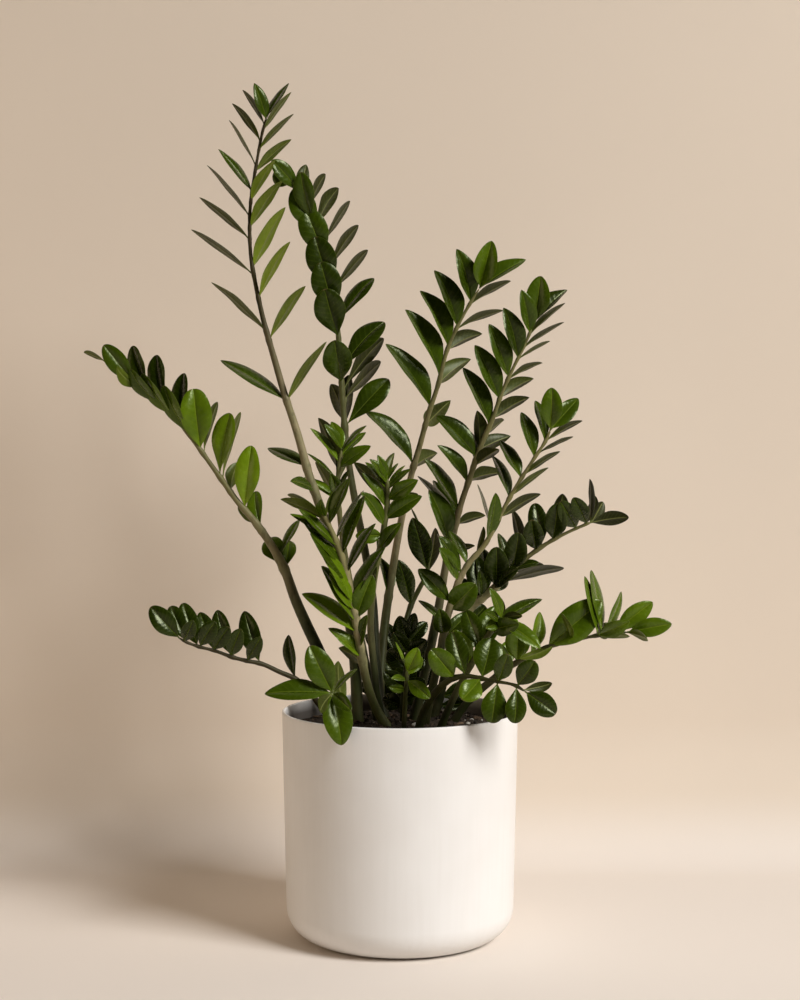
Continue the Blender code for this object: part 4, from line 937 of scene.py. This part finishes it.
def soil_shift(v):
    r = math.hypot(v[0], v[1])
    if v[2] < SOIL_TOP - 1e-4:
        return v
    p = Vector((v[0], v[1], 0.0))
    h = 0.0022 * noise.noise(p * 38) + 0.0016 * noise.noise(p * 110 + Vector((3, 1, 4))) \
        + 0.0009 * abs(noise.noise(p * 260 + Vector((9, 2, 6))))
    edge = min(1.0, (RIM_R - 0.004 - r) / 0.010)
    return v + np.array([0, 0, h * max(0.15, edge) - 0.0010 * (1 - edge)])


def crumbs_piece(mat, rng):
    """Loose crumbs of mix, bark and perlite lying on the soil."""
    base = bmesh.new()
    bmesh.ops.create_icosphere(base, subdivisions=2, radius=1.0)
    ico_v = np.array([v.co[:] for v in base.verts])
    ico_f = [tuple(v.index for v in f.verts) for f in base.faces]
    base.free()
    V, F, C = [], [], []
    for i in range(900):
        r = math.sqrt(rng.random()) * 0.1405
        g = rng.uniform(0, 2 * math.pi)
        size = 0.0010 + 0.0030 * rng.random() ** 2.6
        tone = rng.random() ** 1.3 * 0.86
        if rng.random() < 0.055:
            tone = rng.uniform(0.90, 1.0)
        x, y = r * math.cos(g), r * math.sin(g)
        top = soil_shift(np.array([x, y, SOIL_TOP + SOIL_DOME * (1 - (r / 0.145) ** 2)]))
        s = Vector((rng.uniform(0.7, 1.4), rng.uniform(0.6, 1.2), rng.uniform(0.45, 0.9))) * size
        if tone > 0.6 and tone < 0.86:
            s = Vector((s.x * 1.7, s.y * 0.8, s.z * 0.7))
        rot = Matrix.Rotation(rng.uniform(0, 6.28), 3, 'Z') @ Matrix.Rotation(rng.uniform(-.5, .5), 3, 'X')
        at = Vector((x, y, top[2] + s.z * 0.30))
        seed = Vector((rng.uniform(0, 50), rng.uniform(0, 50), 0))
        n0 = len(V)
        for p in ico_v:
            w = Vector(p)
            w = w * (1 + 0.35 * noise.noise(w * 1.7 + seed))
            V.append(np.array(at + rot @ Vector((w.x * s.x, w.y * s.y, w.z * s.z))))
            C.append(tone)
        F += [tuple(n0 + k for k in f) for f in ico_f]
    return make_piece("soil_crumbs", V, F, mat, points={"crumb_tone": C})


LEAF = leaf_material()
STALK = stalk_material()
POT = pot_material()
SOIL = soil_material("potting_soil", False)
CRUMB = soil_material("soil_crumb", True)

OUT = None
for name, f in FRONDS.items():
    rng = random.Random(name)
    look = LOOK[name]
    dense, rad = curve_of(f["stalk"])
    frames = leaf_frames(f, dense)
    short = name[len("frond_"):]
    st = stalk_piece("stalk_" + short, dense, rad, sorted({fr[7] for fr in frames}), look, STALK, rng)
    V, F = [], []
    cols = {k: [] for k in ("leaf_t", "leaf_s", "leaf_under", "leaf_half", "leaf_tone")}
    tones = look.get("tones", {})
    n0 = 0
    for i, fr in enumerate(frames):
        tone = tones.get(i, look["tone"]) + rng.uniform(-1, 1) * look["spread"]
        v, *rest = blade(fr[:7], rng, tone, look)
        V.append(v)
        turned_out = OUT if OUT is not None else faces_out(v, BLADE_F)
        OUT = turned_out
        F += [tuple(n0 + k for k in q) for q in turned_out]
        n0 += len(v)
        for key, val in zip(("leaf_t", "leaf_s", "leaf_under", "leaf_half", "leaf_tone"), rest):
            cols[key].append(val)
    lv = make_piece("leaflets_" + short, np.concatenate(V), F, LEAF,
                    points={k: np.concatenate(w) for k, w in cols.items()}, sharp=48)
    for ob in (st, lv):
        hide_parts(name)
        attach(ob, "root")

pot = turned("planter_shell", pot_outline(), POT, 192, sharp=60)
# mark the interior wall below the lip, where the planter material paints shade
inner = pot.data.attributes.new("shade_in_planter", 'FLOAT', 'POINT')
inner.data.foreach_set("value", [1.0 if v.co.z > FOOT_ROUND + 0.003 and v.co.z < POT_H - LIP_ROUND * 1.2 and
                                 math.hypot(v.co.x, v.co.y) < wall_r(v.co.z) - WALL * 0.75 else 0.0
                                 for v in pot.data.vertices])
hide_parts("planter")
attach(pot, "root")
soil = turned("soil_bed", soil_outline(), SOIL, 180, shift=soil_shift, sharp=70)
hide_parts("soil")
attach(soil, "root")
crumbs = crumbs_piece(CRUMB, random.Random(11))
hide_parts("soil")
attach(crumbs, "root")


# ------------------------------------------------------------------- stage
def paper_material():
    m, nt, b = new_material("studio_paper")
    co = place(nt)
    cloud = noise_tex(nt, co, 1.3, 2.0)
    wall = mix(nt, span(nt, cloud, 0.3, 0.7), (0.738, 0.638, 0.533), (0.768, 0.666, 0.557))
    z = node(nt, "ShaderNodeSeparateXYZ")
    nt.links.new(co, z.inputs[0])
    col = mix(nt, span(nt, z.outputs["Z"], 0.10, 0.0), wall, (0.850, 0.780, 0.715))
    nt.links.new(col, b.inputs["Base Color"])
    b.inputs["Roughness"].default_value = 0.9
    b.inputs["Specular IOR Level"].default_value = 0.1
    # the wall hides nothing from behind: only its front is there
    out = nt.nodes["Material Output"]
    clear = nt.nodes.new("ShaderNodeBsdfTransparent")
    both = nt.nodes.new("ShaderNodeMixShader")
    geo = nt.nodes.new("ShaderNodeNewGeometry")
    nt.links.new(geo.outputs["Backfacing"], both.inputs[0])
    nt.links.new(b.outputs[0], both.inputs[1])
    nt.links.new(clear.outputs[0], both.inputs[2])
    nt.links.new(both.outputs[0], out.inputs["Surface"])
    return m


SWEEP_Y, SWEEP_R = 0.30, 0.20
line = [(-6.0, 0.0), (-1.5, 0.0), (-0.4, 0.0), (SWEEP_Y, 0.0)]
line += [(SWEEP_Y + SWEEP_R * math.sin(math.radians(g)), SWEEP_R - SWEEP_R * math.cos(math.radians(g)))
         for g in np.linspace(0, 90, 25)[1:]]
line += [(SWEEP_Y + SWEEP_R, z) for z in (1.0, 2.0, 4.0)]
xs = np.linspace(-6, 6, 25)
SV = [(x, y, z) for y, z in line for x in xs]
SF = []
for i in range(len(line) - 1):
    for j in range(len(xs) - 1):
        a = i * len(xs) + j
        SF.append((a, a + 1, a + len(xs) + 1, a + len(xs)))
sweep = make_piece("studio_sweep", SV, SF, paper_material())


def area(name, at, target, size, power, colour, spread=180.0, size_y=None):
    d = bpy.data.lights.new(name, 'AREA')
    d.energy = power
    d.color = colour
    d.shape = 'RECTANGLE' if size_y else 'SQUARE'
    d.size = size
    if size_y:
        d.size_y = size_y
    d.spread = math.radians(spread)
    o = bpy.data.objects.new(name, d)
    bpy.context.scene.collection.objects.link(o)
    o.location = at
    o.rotation_mode = 'QUATERNION'
    o.rotation_quaternion = (Vector(target) - Vector(at)).to_track_quat('-Z', 'Y')
    return o


KEY_AT = Vector((3.50, -2.95, 3.55))
area("key_light", KEY_AT, (-0.35, 0.20, 0.04), 2.1, 64.5, (1.0, 0.982, 0.958), spread=77.0)
area("left_bounce", (-2.6, -0.9, 1.00), (0.0, 0.1, 0.62), 1.6, 12.0, (1.0, 0.765, 0.525))

w = bpy.data.worlds.new("studio")
w.use_nodes = True
bg = w.node_tree.nodes["Background"]
bg.inputs[0].default_value = (0.86, 0.72, 0.58, 1)
bg.inputs[1].default_value = 0.02
shown = w.node_tree.nodes.new("ShaderNodeBackground")
shown.inputs[0].default_value = (0.70, 0.585, 0.475, 1)
ray = w.node_tree.nodes.new("ShaderNodeLightPath")
both = w.node_tree.nodes.new("ShaderNodeMixShader")
w.node_tree.links.new(ray.outputs["Is Camera Ray"], both.inputs[0])
w.node_tree.links.new(bg.outputs[0], both.inputs[1])
w.node_tree.links.new(shown.outputs[0], both.inputs[2])
w.node_tree.links.new(both.outputs[0], w.node_tree.nodes["World Output"].inputs[0])
bpy.context.scene.world = w

cam = bpy.data.cameras.new("camera")
cam.sensor_width = 36.0
cam.lens = 63.83
cam.clip_start, cam.clip_end = 0.05, 50.0
co = bpy.data.objects.new("camera", cam)
bpy.context.scene.collection.objects.link(co)
co.location = EYE
co.rotation_euler = (math.pi / 2 - DIP, 0, 0)
bpy.context.scene.camera = co
bpy.context.scene.view_settings.view_transform = 'Standard'
bpy.context.scene.view_settings.look = 'None'
